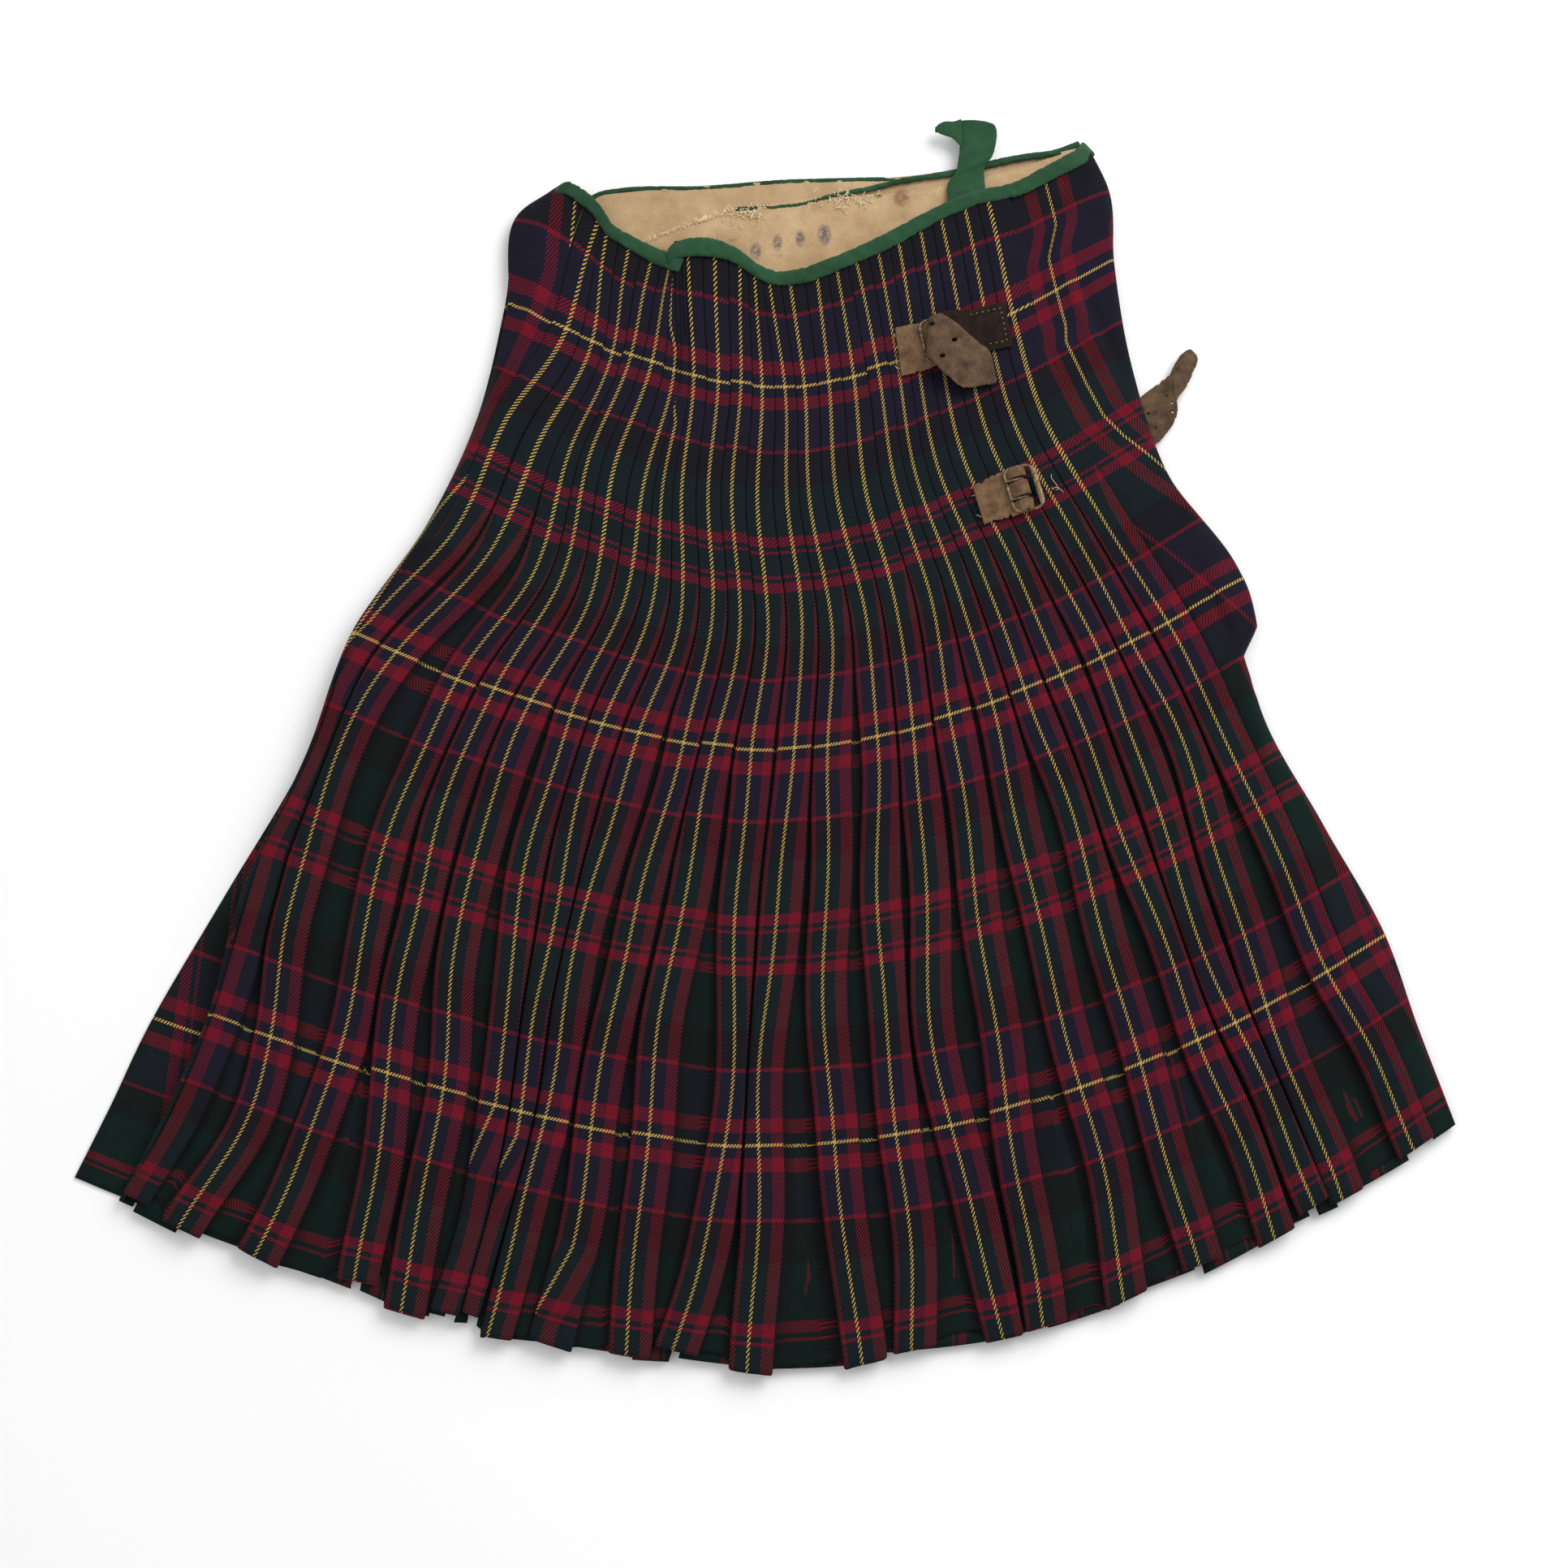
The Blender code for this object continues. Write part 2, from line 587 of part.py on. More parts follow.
def add_prong(name, offset, pivot, material, collection):
    """A prong: wire wound round the bar and carried over the frame's near side."""
    around = PRONG_RADIUS + WIRE + GAP
    arc = [(around * math.cos(a), 0, around * math.sin(a)) for a in np.radians(np.linspace(-140, 90, 9))]
    arm = [(x, 0, z) for x, z in ((-3.0, around), (-6.0, around + 0.1), (-8.0, around + 0.15), (-9.2, around - 0.1))]
    path = np.array(arc + arm)
    radii = [(PRONG_RADIUS, PRONG_RADIUS)] * (len(path) - 1) + [(0.35, 0.35)]
    points = tube_points(path, np.array([0.0, 1.0, 0.0]), radii, sides=8)
    faces = ring_faces(len(path), 8)
    faces += [tuple(range(8)), tuple(range((len(path) - 1) * 8, len(path) * 8))]
    prong = add_mesh(name, points, faces, material, collection)
    prong.location = (0, offset * MM, 0)
    place(prong, pivot)
    return prong


def add_chape(name, pivot, reach, material, collection, cutters):
    """The leather that holds a buckle: folded round the bar, both layers running back under the frame."""
    over = WIRE + GAP
    floor = -(over + CHAPE_DEPTH)
    fold = over + LEATHER
    turns = np.radians(np.linspace(-60, 90, 9))
    arc = [(fold * math.cos(a), fold * math.sin(a)) for a in turns]
    profile = [(-reach, floor), (-0.5, floor), *arc, (-2.0, 2.0), (-4.2, 0.6), (-6.2, -0.9), (-7.2, -over),
               (-9.2, -over), (-12.0, -over - 0.1), (-reach, -over - 0.3)]
    half = STRAP_WIDTH / 2
    rings = []
    for share, shrink in ((-1.0, 0.25), (-0.97, 0.0), (0.97, 0.0), (1.0, 0.25)):
        for x, z in profile:
            side = share * (half if x < -9.0 else FOLD_HALF_WIDTH)
            rings.append((x, side, z + (shrink if z == floor else -shrink)))
    count = len(profile)
    faces = ring_faces(4, count)
    faces += [tuple(range(count)), tuple(range(3 * count, 4 * count))]
    chape = add_mesh(name, rings, faces, material, collection)
    place(chape, pivot)
    tunnel = add_cylinder(name + "_tunnel", over, STRAP_WIDTH + 4, 16, cutters, material)
    boolean(chape, tunnel, "DIFFERENCE")
    place(tunnel, pivot)
    for which, offset in PRONG_OFFSETS.items():
        slot = add_cylinder(f"{name}_slot_{which}", over + 2 * PRONG_RADIUS + 2 * GAP, SLOT_WIDTH, 16, cutters, material)
        slot.location = (0, offset * MM, 0)
        boolean(chape, slot, "DIFFERENCE")
        place(slot, pivot)
        low = (-7.0, offset - SLOT_WIDTH / 2, -0.8)
        high = (0.5, offset + SLOT_WIDTH / 2, fold + 1)
        way = add_box(f"{name}_way_{which}", low, high, cutters, material)
        boolean(chape, way, "DIFFERENCE")
        place(way, pivot)
    return chape


def add_upper_strap(material, collection):
    """The fastened strap: a flat strip lofted through its cross-lines, square to the way it runs."""
    rows = rows_of(UPPER_STRAP_COLUMNS, UPPER_STRAP)
    keys = np.arange(len(UPPER_STRAP), dtype=float)
    at = np.linspace(0, len(keys) - 1, 2 * len(keys) - 1)
    low = np.stack([smooth(keys, rows[name], at) for name in ("low_x", "low_y", "z")], axis=1)
    high = np.stack([smooth(keys, rows[name], at) for name in ("high_x", "high_y", "z")], axis=1)
    along = np.gradient((low + high) / 2, axis=0)
    away = np.cross(along, high - low)
    away *= LEATHER / 2 / np.linalg.norm(away, axis=1)[:, None]
    rings = np.stack([low + away, high + away, high - away, low - away], axis=1)
    faces = ring_faces(len(rings), 4)
    faces += [(0, 1, 2, 3), tuple(range((len(rings) - 1) * 4, len(rings) * 4))]
    return add_mesh("upper_strap", rings.reshape(-1, 3), faces, material, collection, smooth_angle=30)


def main():
    clear_scene()
    kilt = make_collection("scottish_kilt")
    cutters = make_collection("cutters", hidden=True)
    materials = {
        "tartan": make_material("tartan", (0.02, 0.022, 0.03), 0.85),
        "tartan_apron": make_material("tartan_apron", (0.016, 0.02, 0.028), 0.85),
        "drill": make_material("drill", (0.6, 0.43, 0.24), 0.85),
        "tape": make_material("tape", (0.02, 0.11, 0.04), 0.8),
        "leather": make_material("leather", (0.13, 0.085, 0.055), 0.7),
        "leather_pale": make_material("leather_pale", (0.2, 0.13, 0.08), 0.7),
        "steel": make_material("steel", (0.35, 0.27, 0.2), 0.45, 0.9),
    }
    add_slab("over_apron", APRON_COLUMNS, OVER_APRON, OVER_APRON_Z, CLOTH, materials["tartan_apron"], kilt, rows=2)
    add_slab("under_apron", APRON_COLUMNS, UNDER_APRON, UNDER_APRON_Z, CLOTH, materials["tartan_apron"], kilt, rows=2)
    add_slab("over_apron_lining", APRON_COLUMNS, OVER_LINING, OVER_LINING_Z, LINING, materials["drill"], kilt, rows=2)
    add_slab("under_apron_lining", APRON_COLUMNS, UNDER_LINING, UNDER_LINING_Z, LINING, materials["drill"], kilt, rows=2)
    add_edge_binding("over_apron_binding", OVER_APRON[0], OVER_APRON_Z, materials["tape"], kilt)
    add_edge_binding("under_apron_binding", UNDER_APRON[0], UNDER_APRON_Z, materials["tape"], kilt)
    add_back(materials["tartan"], kilt)
    add_back_binding(materials["tape"], kilt)
    add_ribbon("hanger_loop", LOOP_COLUMNS, HANGER_LOOP, TAPE, materials["tape"], kilt)
    add_ribbon("side_strap", STRAP_COLUMNS, SIDE_STRAP, 2 * LEATHER, materials["leather"], kilt)
    for which, buckle in BUCKLES.items():
        pivot = add_pivot(which + "_pivot", buckle, kilt)
        reach = {"upper": 24.0, "lower": 29.0}[which]
        add_frame(which + "_buckle", pivot, materials["steel"], kilt, cutters)
        add_chape(which + "_chape", pivot, reach, materials["leather_pale"], kilt, cutters)
        if which == "upper":
            add_upper_strap(materials["leather"], kilt)
            continue
        for name, offset in PRONG_OFFSETS.items():
            add_prong(f"{name}_prong", offset, pivot, materials["steel"], kilt)


main()
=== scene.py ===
"""The looks of a pleated tartan kilt that lies flat with its back uppermost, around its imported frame.

Cloth pieces are grids of numbered points: rows run down the cloth and columns across it, in
millimetres, and each face corner carries its place on the woven cloth in metres as a UV map.
"""

import math

import bpy
import numpy as np
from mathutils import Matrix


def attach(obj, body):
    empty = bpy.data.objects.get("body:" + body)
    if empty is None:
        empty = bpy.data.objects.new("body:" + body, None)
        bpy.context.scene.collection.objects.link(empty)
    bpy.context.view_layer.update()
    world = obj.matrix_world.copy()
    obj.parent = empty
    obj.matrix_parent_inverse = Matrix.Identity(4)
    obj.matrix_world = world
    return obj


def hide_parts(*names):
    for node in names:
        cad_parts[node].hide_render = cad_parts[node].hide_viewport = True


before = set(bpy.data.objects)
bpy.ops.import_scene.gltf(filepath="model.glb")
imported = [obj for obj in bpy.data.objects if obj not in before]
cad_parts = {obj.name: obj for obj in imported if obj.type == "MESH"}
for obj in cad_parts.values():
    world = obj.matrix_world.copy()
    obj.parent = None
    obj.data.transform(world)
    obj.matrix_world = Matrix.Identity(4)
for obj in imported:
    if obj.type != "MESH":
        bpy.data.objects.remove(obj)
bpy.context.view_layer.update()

MM = 0.001
SETT = 218.0  # one repeat of the check, from yellow line to yellow line
RNG = np.random.default_rng(7)

# ---------------------------------------------------------------- the kilt's lay-out, mm

SECTION_COLUMNS = (
    "down", "mid_x", "mid_y", "left_x", "left_rise", "left_power",
    "right_x", "right_rise", "right_power", "first", "last", "crown", "step",
)
SECTIONS = (
    (0, 5, 257, -128, 61, 1.50, 190, 81, 1.18, -93, 126, 13.2, 0.5),
    (22, 6, 236, -147, 67, 1.60, 199, 82, 1.20, -96, 131, 13.6, 0.5),
    (66, 10, 192, -151, 55, 1.80, 201, 82, 1.50, -101, 140, 13.8, 0.5),
    (140, 6, 119, -166, 59, 1.70, 210, 86, 1.60, -130, 157, 13.8, 0.6),
    (212, 0, 47, -193, 65, 1.65, 229, 92, 1.70, -156, 188, 13.6, 0.9),
    (284, -3, -24, -234, 69, 1.60, 268, 102, 1.75, -206, 223, 13.6, 1.6),
    (350, -8, -91, -255, 68, 1.55, 273, 99, 1.80, -236, 250, 13.4, 2.2),
    (430, -12, -172, -288, 69, 1.50, 306, 108, 1.90, -256, 277, 13.2, 2.8),
    (502, -15, -244, -303, 72, 1.50, 337, 117, 2.00, -269, 302, 13.0, 3.2),
    (560, -8, -301, -322, 79, 1.60, 352, 123, 2.00, -288, 325, 12.6, 3.4),
    (617, 0, -357, -345, 85, 1.75, 369, 128, 2.00, -311, 347, 12.0, 3.4),
)
PLEAT_COLUMNS = ("waist", "yoke", "hip", "knee", "hem", "drop")
PLEATS = (
    (7, -3, -1, 3, 4, -4),
    (0, 0, 0, 0, 0, 3),
    (2, 0, 12, 10, 6, 0),
    (5, -2, 11, 10, 28, -3),
    (5, -2, 11, 8, 20, 5),
    (-3, -1, 10, 11, 11, 0),
    (-13, -8, 8, -5, -9, -4),
    (-20, -14, 7, -22, -33, 6),
    (-15, -12, 8, -23, -35, 5),
    (-11, -11, 6, -23, -26, 2),
    (-14, -11, 4, -11, -34, -4),
    (-17, -10, 5, -20, -29, 5),
    (-16, -11, 5, -10, -1, 4),
    (-11, -9, 8, -5, -7, 1),
    (-11, -7, 7, -4, 6, 4),
    (-11, -5, 8, -3, -4, 1),
    (-9, -6, 7, 8, 6, 2),
    (-8, -7, 6, 13, 11, 0),
    (-6, -6, 5, 15, 22, 3),
    (-5, -4, 4, 6, 9, -2),
    (-2, -2, 2, -4, -10, 3),
    (0, 0, 0, 0, 0, 1),
)
APRON_COLUMNS = ("left_x", "left_y", "mid_x", "mid_y", "right_x", "right_y")
OVER_APRON = (
    (-112, 316, 30, 327, 183, 348),
    (-146, 300, 30, 300, 182, 326),
    (-153, 247, 10, 192, 190, 272),
    (-167, 178, 6, 119, 200, 200),
    (-194, 112, 0, 47, 219, 132),
    (-235, 45, -3, -24, 256, 64),
    (-256, -24, -8, -91, 264, 4),
    (-297, -103, -12, -172, 296, -66),
    (-333, -172, -15, -240, 327, -132),
    (-353, -220, -8, -296, 342, -182),
    (-370, -259, 0, -350, 358, -232),
)
UNDER_APRON = (
    (-15, 304, 60, 312, 181, 341),
    (-68, 282, 50, 288, 182, 322),
    (-120, 236, 10, 184, 190, 268),
    (-140, 166, 6, 112, 200, 196),
    (-166, 96, 0, 42, 219, 128),
    (-205, 30, -3, -28, 256, 60),
    (-228, -36, -8, -95, 264, 0),
    (-262, -110, -12, -174, 296, -70),
    (-284, -178, -15, -242, 327, -136),
    (-300, -226, -8, -297, 342, -186),
    (-318, -262, 0, -348, 358, -236),
)
OVER_LINING = (
    (-104, 317.5, 30, 327.5, 181, 348.5),
    (-124, 286, 20, 268, 180, 318),
    (-130, 262, 14, 216, 186, 280),
)
UNDER_LINING = (
    (-20, 306.5, 40, 316, 179, 346),
    (-73, 284.5, 50, 270, 180, 312),
    (-114, 248, 14, 206, 186, 272),
)
BACK_Z = 5.6
CLOTH = 1.4
FACE_LEFT, FACE_RIGHT = 9.6, 13.3
FELL_END = 212.0  # the pleats are sewn down to here, at the middle of the back
# Where a pleat's yellow line lies hidden: pleat, from, to (distances down the cloth), how far it slips
HIDDEN = (
    (5, -40, 55, 3.5), (6, -40, 98, 3.5), (0, 275, 800, 9), (5, 501, 800, 11), (6, 516, 800, 11),
    (8, 568, 800, 11),
)
# The plain cloth's yellow lines beside the pleats: distance down, x
LEFT_LINE = ((0, -112), (43, -116), (100, -136), (159, -157.5), (203, -186), (300, -240), (617, -420))
RIGHT_LINE = (
    (0, 160), (31, 167), (47, 162), (66, 166), (90, 171), (100, 171), (133, 182), (157, 191),
    (175, 202), (203, 223), (250, 262), (300, 300), (350, 335), (430, 372), (502, 395), (617, 420),
)
# The bound top edge of the back, with a notch where its left part tucks under its right: x, y
TOP_EDGE = (
    (-128, 318), (-119, 321), (-108, 315.5), (-100, 307), (-92, 294.5), (-80, 285.5), (-69, 280),
    (-57, 275), (-53.5, 283.5), (-45, 285), (-36, 285), (-28, 282.5), (-20, 278), (-8, 268), (5, 262.5),
    (16, 264), (25, 267), (45, 275.5), (67, 286), (96, 302), (119, 313.5), (143, 319.5), (162, 330.0),
    (179, 338), (190, 343),
)
# A drag fold runs down from the right end of the waist: distance down, x
DRAG_FOLD = ((0, 187), (17, 185), (27, 173), (33, 164), (46, 161), (62, 160))
# Soft ridges and troughs in the plain cloth at both sides: from (distance down, x) to (distance
# down, x), half width, height
RIGHT_FOLDS = (
    (15, 194, 110, 205, 6, 1.5), (50, 168, 150, 200, 4, 1.6), (60, 176, 150, 208, 4, -1.6),
    (140, 198, 225, 248, 5, 1.8),
    (150, 208, 235, 258, 4, -1.5), (205, 232, 312, 258, 7, 1.8), (262, 240, 322, 262, 3, -2.2),
    (330, 262, 470, 300, 5, 1.6),
    (420, 290, 600, 345, 6, 1.5),
)
LEFT_FOLDS = (
    (10, -128, 110, -146, 4, 1.4), (40, -141, 150, -158, 4, -1.4), (90, -164, 190, -190, 4, 1.6),
    (190, -196, 300, -243, 4, 1.8),
    (210, -206, 300, -248, 3, -1.5), (300, -238, 470, -290, 5, 1.6), (420, -286, 600, -330, 6, 1.6),
)
BULGE_END = 322.0  # the plain cloth bulges out over itself down to here, on the right


def rows_of(columns, table):
    """The table's columns as named arrays."""
    return dict(zip(columns, np.array(table, float).T))


def smooth(keys, values, at):
    """A cubic through the values, whose slope at each one is that of its neighbours."""
    keys, values, at = (np.asarray(item, float) for item in (keys, values, at))
    slopes = np.gradient(values, keys, axis=0)
    i = np.clip(np.searchsorted(keys, at) - 1, 0, len(keys) - 2)
    shape = at.shape + (1,) * (values.ndim - 1)
    span = (keys[i + 1] - keys[i]).reshape(shape)
    t = ((at - keys[i])).reshape(shape) / span
    ends = values[i] * (1 + 2 * t) * (1 - t) ** 2 + values[i + 1] * t**2 * (3 - 2 * t)
    return ends + span * (slopes[i] * t * (1 - t) ** 2 - slopes[i + 1] * t**2 * (1 - t))


SECTION = rows_of(SECTION_COLUMNS, SECTIONS)
PLEAT = rows_of(PLEAT_COLUMNS, PLEATS)
COUNT = len(PLEATS)


def section(name, down):
    """One column of the sections, read at distances down the cloth."""
    return smooth(SECTION["down"], SECTION[name], down)


def fall(x, down):
    """The y of each section curve at x: its middle, plus a rise by a power of the distance."""
    mid, left_x, right_x = section("mid_x", down), section("left_x", down), section("right_x", down)
    left = np.clip((mid - x) / (mid - left_x), 0, 2)
    right = np.clip((x - mid) / (right_x - mid), 0, 2)
    left_part = section("left_rise", down) * left ** section("left_power", down)
    right_part = section("right_rise", down) * right ** section("right_power", down)
    return section("mid_y", down) + left_part + right_part


def yellow_lines(down):
    """The x of each pleat's yellow line in each row: an even fan, plus what it has slipped."""
    slips = np.stack([PLEAT[name] for name in PLEAT_COLUMNS[:5]])
    calf = 0.5 * (slips[3] + slips[4])
    calf[1] += 8  # the second pleat curls aside only at its hem
    slips = smooth((0, 66, 284, 502, 560, 617), np.concatenate([slips[:4], calf[None], slips[4:]]), down)
    first, last = section("first", down), section("last", down)
    even = first[:, None] + (last - first)[:, None] * (np.arange(COUNT) - 1) / (COUNT - 2)
    lines = even + slips
    # Below the stitching each pleat wavers from side to side in its own way.
    turn = np.arange(COUNT) * 2.4
    free = np.clip((down[:, None] - 190) / 120, 0, 1)
    column = down[:, None]
    lines = lines + free * (1.0 * np.sin(column / 21 + turn) + 1.3 * np.sin(column / 47 + 1.7 * turn))
    lines[:, 0] = np.maximum(lines[:, 0], section("left_x", down) + 5)
    return lines


# ---------------------------------------------------------------- meshes


def put_mesh(name, points, quads, material, uv=None, extra=None, smooth_shade=True):
    """An object from points in millimetres and four-cornered faces, with UV maps given per corner."""
    mesh = bpy.data.meshes.new(name)
    quads = np.asarray(quads, np.int32).reshape(-1, 4)
    mesh.vertices.add(len(points))
    mesh.vertices.foreach_set("co", (np.asarray(points, float) * MM).astype(np.float32).ravel())
    mesh.loops.add(quads.size)
    mesh.loops.foreach_set("vertex_index", quads.ravel())
    mesh.polygons.add(len(quads))
    mesh.polygons.foreach_set("loop_start", np.arange(0, quads.size, 4, dtype=np.int32))
    mesh.update(calc_edges=True)
    for label, values in (("cloth", uv), *((extra or {}).items())):
        if values is not None:
            layer = mesh.uv_layers.new(name=label)
            flat = np.asarray(values, float).reshape(-1, 2) * MM
            layer.data.foreach_set("uv", flat.astype(np.float32).ravel())
    mesh.polygons.foreach_set("use_smooth", np.full(len(quads), smooth_shade))
    mesh.materials.append(material)
    mesh.validate()
    obj = bpy.data.objects.new(name, mesh)
    bpy.context.scene.collection.objects.link(obj)
    return obj


def grid_quads(rows, columns, wrap=False):
    """Corner numbers of a grid's faces, in order (r, c), (r, c + 1), (r + 1, c + 1), (r + 1, c)."""
    r, c = np.meshgrid(np.arange(rows - 1), np.arange(columns if wrap else columns - 1), indexing="ij")
    d = (c + 1) % columns
    here, after = r * columns, (r + 1) * columns
    return np.stack([here + c, here + d, after + d, after + c], axis=-1)


def slab_mesh(name, rings, uv_rings, material):
    """A closed wall of cloth: rings (rows, columns, 3) of its upper side, and the thickness below it."""
    upper, lower = rings
    rows, columns = upper.shape[:2]
    loop = np.concatenate([upper, lower[:, ::-1]], axis=1)
    uv = np.concatenate([uv_rings, uv_rings[:, ::-1]], axis=1)
    faces = grid_quads(rows, 2 * columns, wrap=True).reshape(-1, 4)
    flat_uv = uv.reshape(-1, 2)
    caps = []
    for start, order in ((0, 1), ((rows - 1) * 2 * columns, -1)):
        i = np.arange(columns - 1)
        far = start + 2 * columns - 1 - i
        cap = np.stack([start + i, far, far - 1, start + i + 1], axis=1)
        caps.append(cap[:, ::order])
    faces = np.concatenate([faces, *caps])
    corner = loop.reshape(-1, 3)[faces]
    if np.einsum("ij,ij->", corner[:, 0], np.cross(corner[:, 1], corner[:, 2])) < 0:
        faces = faces[:, ::-1]
    return put_mesh(name, loop.reshape(-1, 3), faces, material, uv=flat_uv[faces])


# ---------------------------------------------------------------- materials


def new_material(name, roughness=0.85, sheen=0.0, metallic=0.0):
    """A plain shader of that gloss, sheen and metal, with its node tree."""
    material = bpy.data.materials.new(name)
    material.use_nodes = True
    tree = material.node_tree
    shader = tree.nodes["Principled BSDF"]
    shader.inputs["Roughness"].default_value = roughness
    shader.inputs["Metallic"].default_value = metallic
    shader.inputs["Sheen Weight"].default_value = sheen
    shader.inputs["Sheen Roughness"].default_value = 0.6
    shader.inputs["Specular IOR Level"].default_value = 0.2
    return material, tree, shader


def node(tree, kind, **settings):
    """One node of that kind, with its settings."""
    made = tree.nodes.new(kind)
    for key, value in settings.items():
        setattr(made, key, value)
    return made


def math_node(tree, operation, first, second=None, third=None, clamp=False):
    """The output of one Math node over numbers or other nodes' outputs."""
    made = node(tree, "ShaderNodeMath", operation=operation, use_clamp=clamp)
    for socket, value in zip(made.inputs, (first, second, third)):
        if value is None:
            continue
        if isinstance(value, (int, float)):
            socket.default_value = value
        else:
            tree.links.new(value, socket)
    return made.outputs[0]


def mix_colour(tree, share, first, second, blend="MIX"):
    """The output of one colour Mix node: the first colour where the share is 0, the second where it is 1."""
    made = node(tree, "ShaderNodeMix", data_type="RGBA", blend_type=blend)
    given = ((made.inputs["Factor"], share), (made.inputs["A"], first), (made.inputs["B"], second))
    for socket, value in given:
        if isinstance(value, (int, float)):
            socket.default_value = value
        elif isinstance(value, tuple):
            socket.default_value = (*value, 1)
        else:
            tree.links.new(value, socket)
    return made.outputs["Result"]


def ramp(tree, value, stops, interpolation="LINEAR"):
    """A colour ramp through the stops, read at a value."""
    made = node(tree, "ShaderNodeValToRGB")
    band = made.color_ramp
    band.interpolation = interpolation
    for _ in range(len(stops) - 2):
        band.elements.new(0.5)
    for element, (at, colour) in zip(band.elements, sorted(stops)):
        element.position = at
    for element, (at, colour) in zip(band.elements, sorted(stops)):
        element.color = (*colour, 1) if len(colour) == 3 else colour
    tree.links.new(value, made.inputs["Fac"])
    return made.outputs["Color"]


def noise(tree, vector, scale, detail=2.0, roughness=0.5):
    """The share that one noise texture gives at a place."""
    made = node(tree, "ShaderNodeTexNoise")
    made.inputs["Scale"].default_value = scale
    made.inputs["Detail"].default_value = detail
    made.inputs["Roughness"].default_value = roughness
    tree.links.new(vector, made.inputs["Vector"])
    return made.outputs["Fac"]


def srgb(*levels):
    """A colour given as 0 to 255 screen levels, made linear."""
    shares = np.array(levels) / 255
    linear = np.where(shares <= 0.04045, shares / 12.92, ((shares + 0.055) / 1.055) ** 2.4)
    return tuple(float(v) for v in linear)


NAVY = srgb(26, 24, 38)
BLACK = srgb(22, 21, 21)
GREEN = srgb(15, 32, 29)
RED = srgb(110, 18, 36)
YELLOW = srgb(190, 158, 84)

# Half of the check, from the yellow line's middle to the green's, mm: where each colour starts.
HALF_SETT = (
    (0.0, YELLOW), (0.8, NAVY), (6.7, RED), (14.2, NAVY), (39.2, RED), (41.4, BLACK),
    (62.3, GREEN), (92.0, RED), (98.3, GREEN), (100.6, RED), (102.3, GREEN),
)


def tartan_material(name, wear=1.0):
    """Two-by-two twill: the diagonal share of each spot shows the warp's colour, the rest the weft's."""
    material, tree, shader = new_material(name, roughness=0.95, sheen=0.015)
    shader.inputs["Specular IOR Level"].default_value = 0.08
    place = node(tree, "ShaderNodeUVMap", uv_map="cloth")
    split = node(tree, "ShaderNodeSeparateXYZ")
    tree.links.new(place.outputs["UV"], split.inputs[0])
    u, v = split.outputs["X"], split.outputs["Y"]
    half = SETT / 2 * MM
    stops = [(at / (SETT / 2), colour) for at, colour in HALF_SETT]
    colours = []
    for along in (u, v):
        folded = math_node(tree, "PINGPONG", along, half)
        colours.append(ramp(tree, math_node(tree, "DIVIDE", folded, half), stops, "CONSTANT"))
    # The twill's wales climb to the right: one repeat is 1.7 mm across and 2.4 mm down.
    across = math_node(tree, "DIVIDE", u, 0.0017)
    phase = math_node(tree, "FRACT", math_node(tree, "ADD", across, math_node(tree, "DIVIDE", v, 0.0024)))
    swing = math_node(tree, "SINE", math_node(tree, "MULTIPLY", phase, 2 * math.pi))
    warp_share = math_node(tree, "MULTIPLY_ADD", swing, 3.0, -0.5, clamp=True)
    colour = mix_colour(tree, warp_share, colours[1], colours[0])
    # The furrow between wales is darker, and the nap is uneven.
    ridge = math_node(tree, "ABSOLUTE", swing)
    furrow = math_node(tree, "MULTIPLY_ADD", ridge, 0.6, 0.45)
    coords = node(tree, "ShaderNodeTexCoord")
    uneven = noise(tree, coords.outputs["Object"], 60.0, 4.0, 0.65)
    fine = noise(tree, coords.outputs["Object"], 900.0, 2.0, 0.6)
    level = math_node(tree, "MULTIPLY", furrow, math_node(tree, "MULTIPLY_ADD", uneven, 0.5, 0.76))
    level = math_node(tree, "MULTIPLY", level, math_node(tree, "MULTIPLY_ADD", fine, 0.5, 0.76))
    dark = node(tree, "ShaderNodeCombineXYZ")
    for socket in dark.inputs:
        tree.links.new(level, socket)
    colour = mix_colour(tree, 1.0, colour, dark.outputs[0], "MULTIPLY")
    # Painted shade darkens the folds' hollows, where little light reaches, and the stitches that hold the
    # pleats down are dark dashes in it.
    hollow = node(tree, "ShaderNodeAttribute", attribute_name="hollow").outputs["Fac"]
    dash = math_node(tree, "FRACT", math_node(tree, "DIVIDE", v, 0.0046))
    dash = math_node(tree, "LESS_THAN", dash, 0.55)
    sewn = math_node(tree, "LESS_THAN", v, (FELL_END - 66) * MM)
    loose = math_node(tree, "SUBTRACT", 1.0, sewn)
    stitched = math_node(tree, "MULTIPLY_ADD", dash, 0.6, 0.4)
    # The hollow attribute gives how much painted shade each place takes; where the pleats are sewn down it
    # is broken into stitch dashes.
    painted_shade_and_stitches = math_node(tree, "MULTIPLY", hollow, math_node(tree, "MAXIMUM", loose, stitched))
    colour = mix_colour(tree, math_node(tree, "MULTIPLY", painted_shade_and_stitches, 0.82), colour, srgb(10, 8, 9))
    # Pale fibres that the wool has picked up.
    fluff = noise(tree, coords.outputs["Object"], 350.0, 3.0, 0.7)
    fluff = math_node(tree, "MULTIPLY_ADD", fluff, 9.0, -6.7, clamp=True)
    colour = mix_colour(tree, math_node(tree, "MULTIPLY", fluff, 0.05 * wear), colour, srgb(150, 140, 130))
    tree.links.new(colour, shader.inputs["Base Color"])
    bump = node(tree, "ShaderNodeBump")
    bump.inputs["Strength"].default_value = 0.5
    bump.inputs["Distance"].default_value = 0.00025
    nap = math_node(tree, "MULTIPLY", fine, 0.6)
    tree.links.new(math_node(tree, "ADD", ridge, nap), bump.inputs["Height"])
    tree.links.new(bump.outputs["Normal"], shader.inputs["Normal"])
    return material


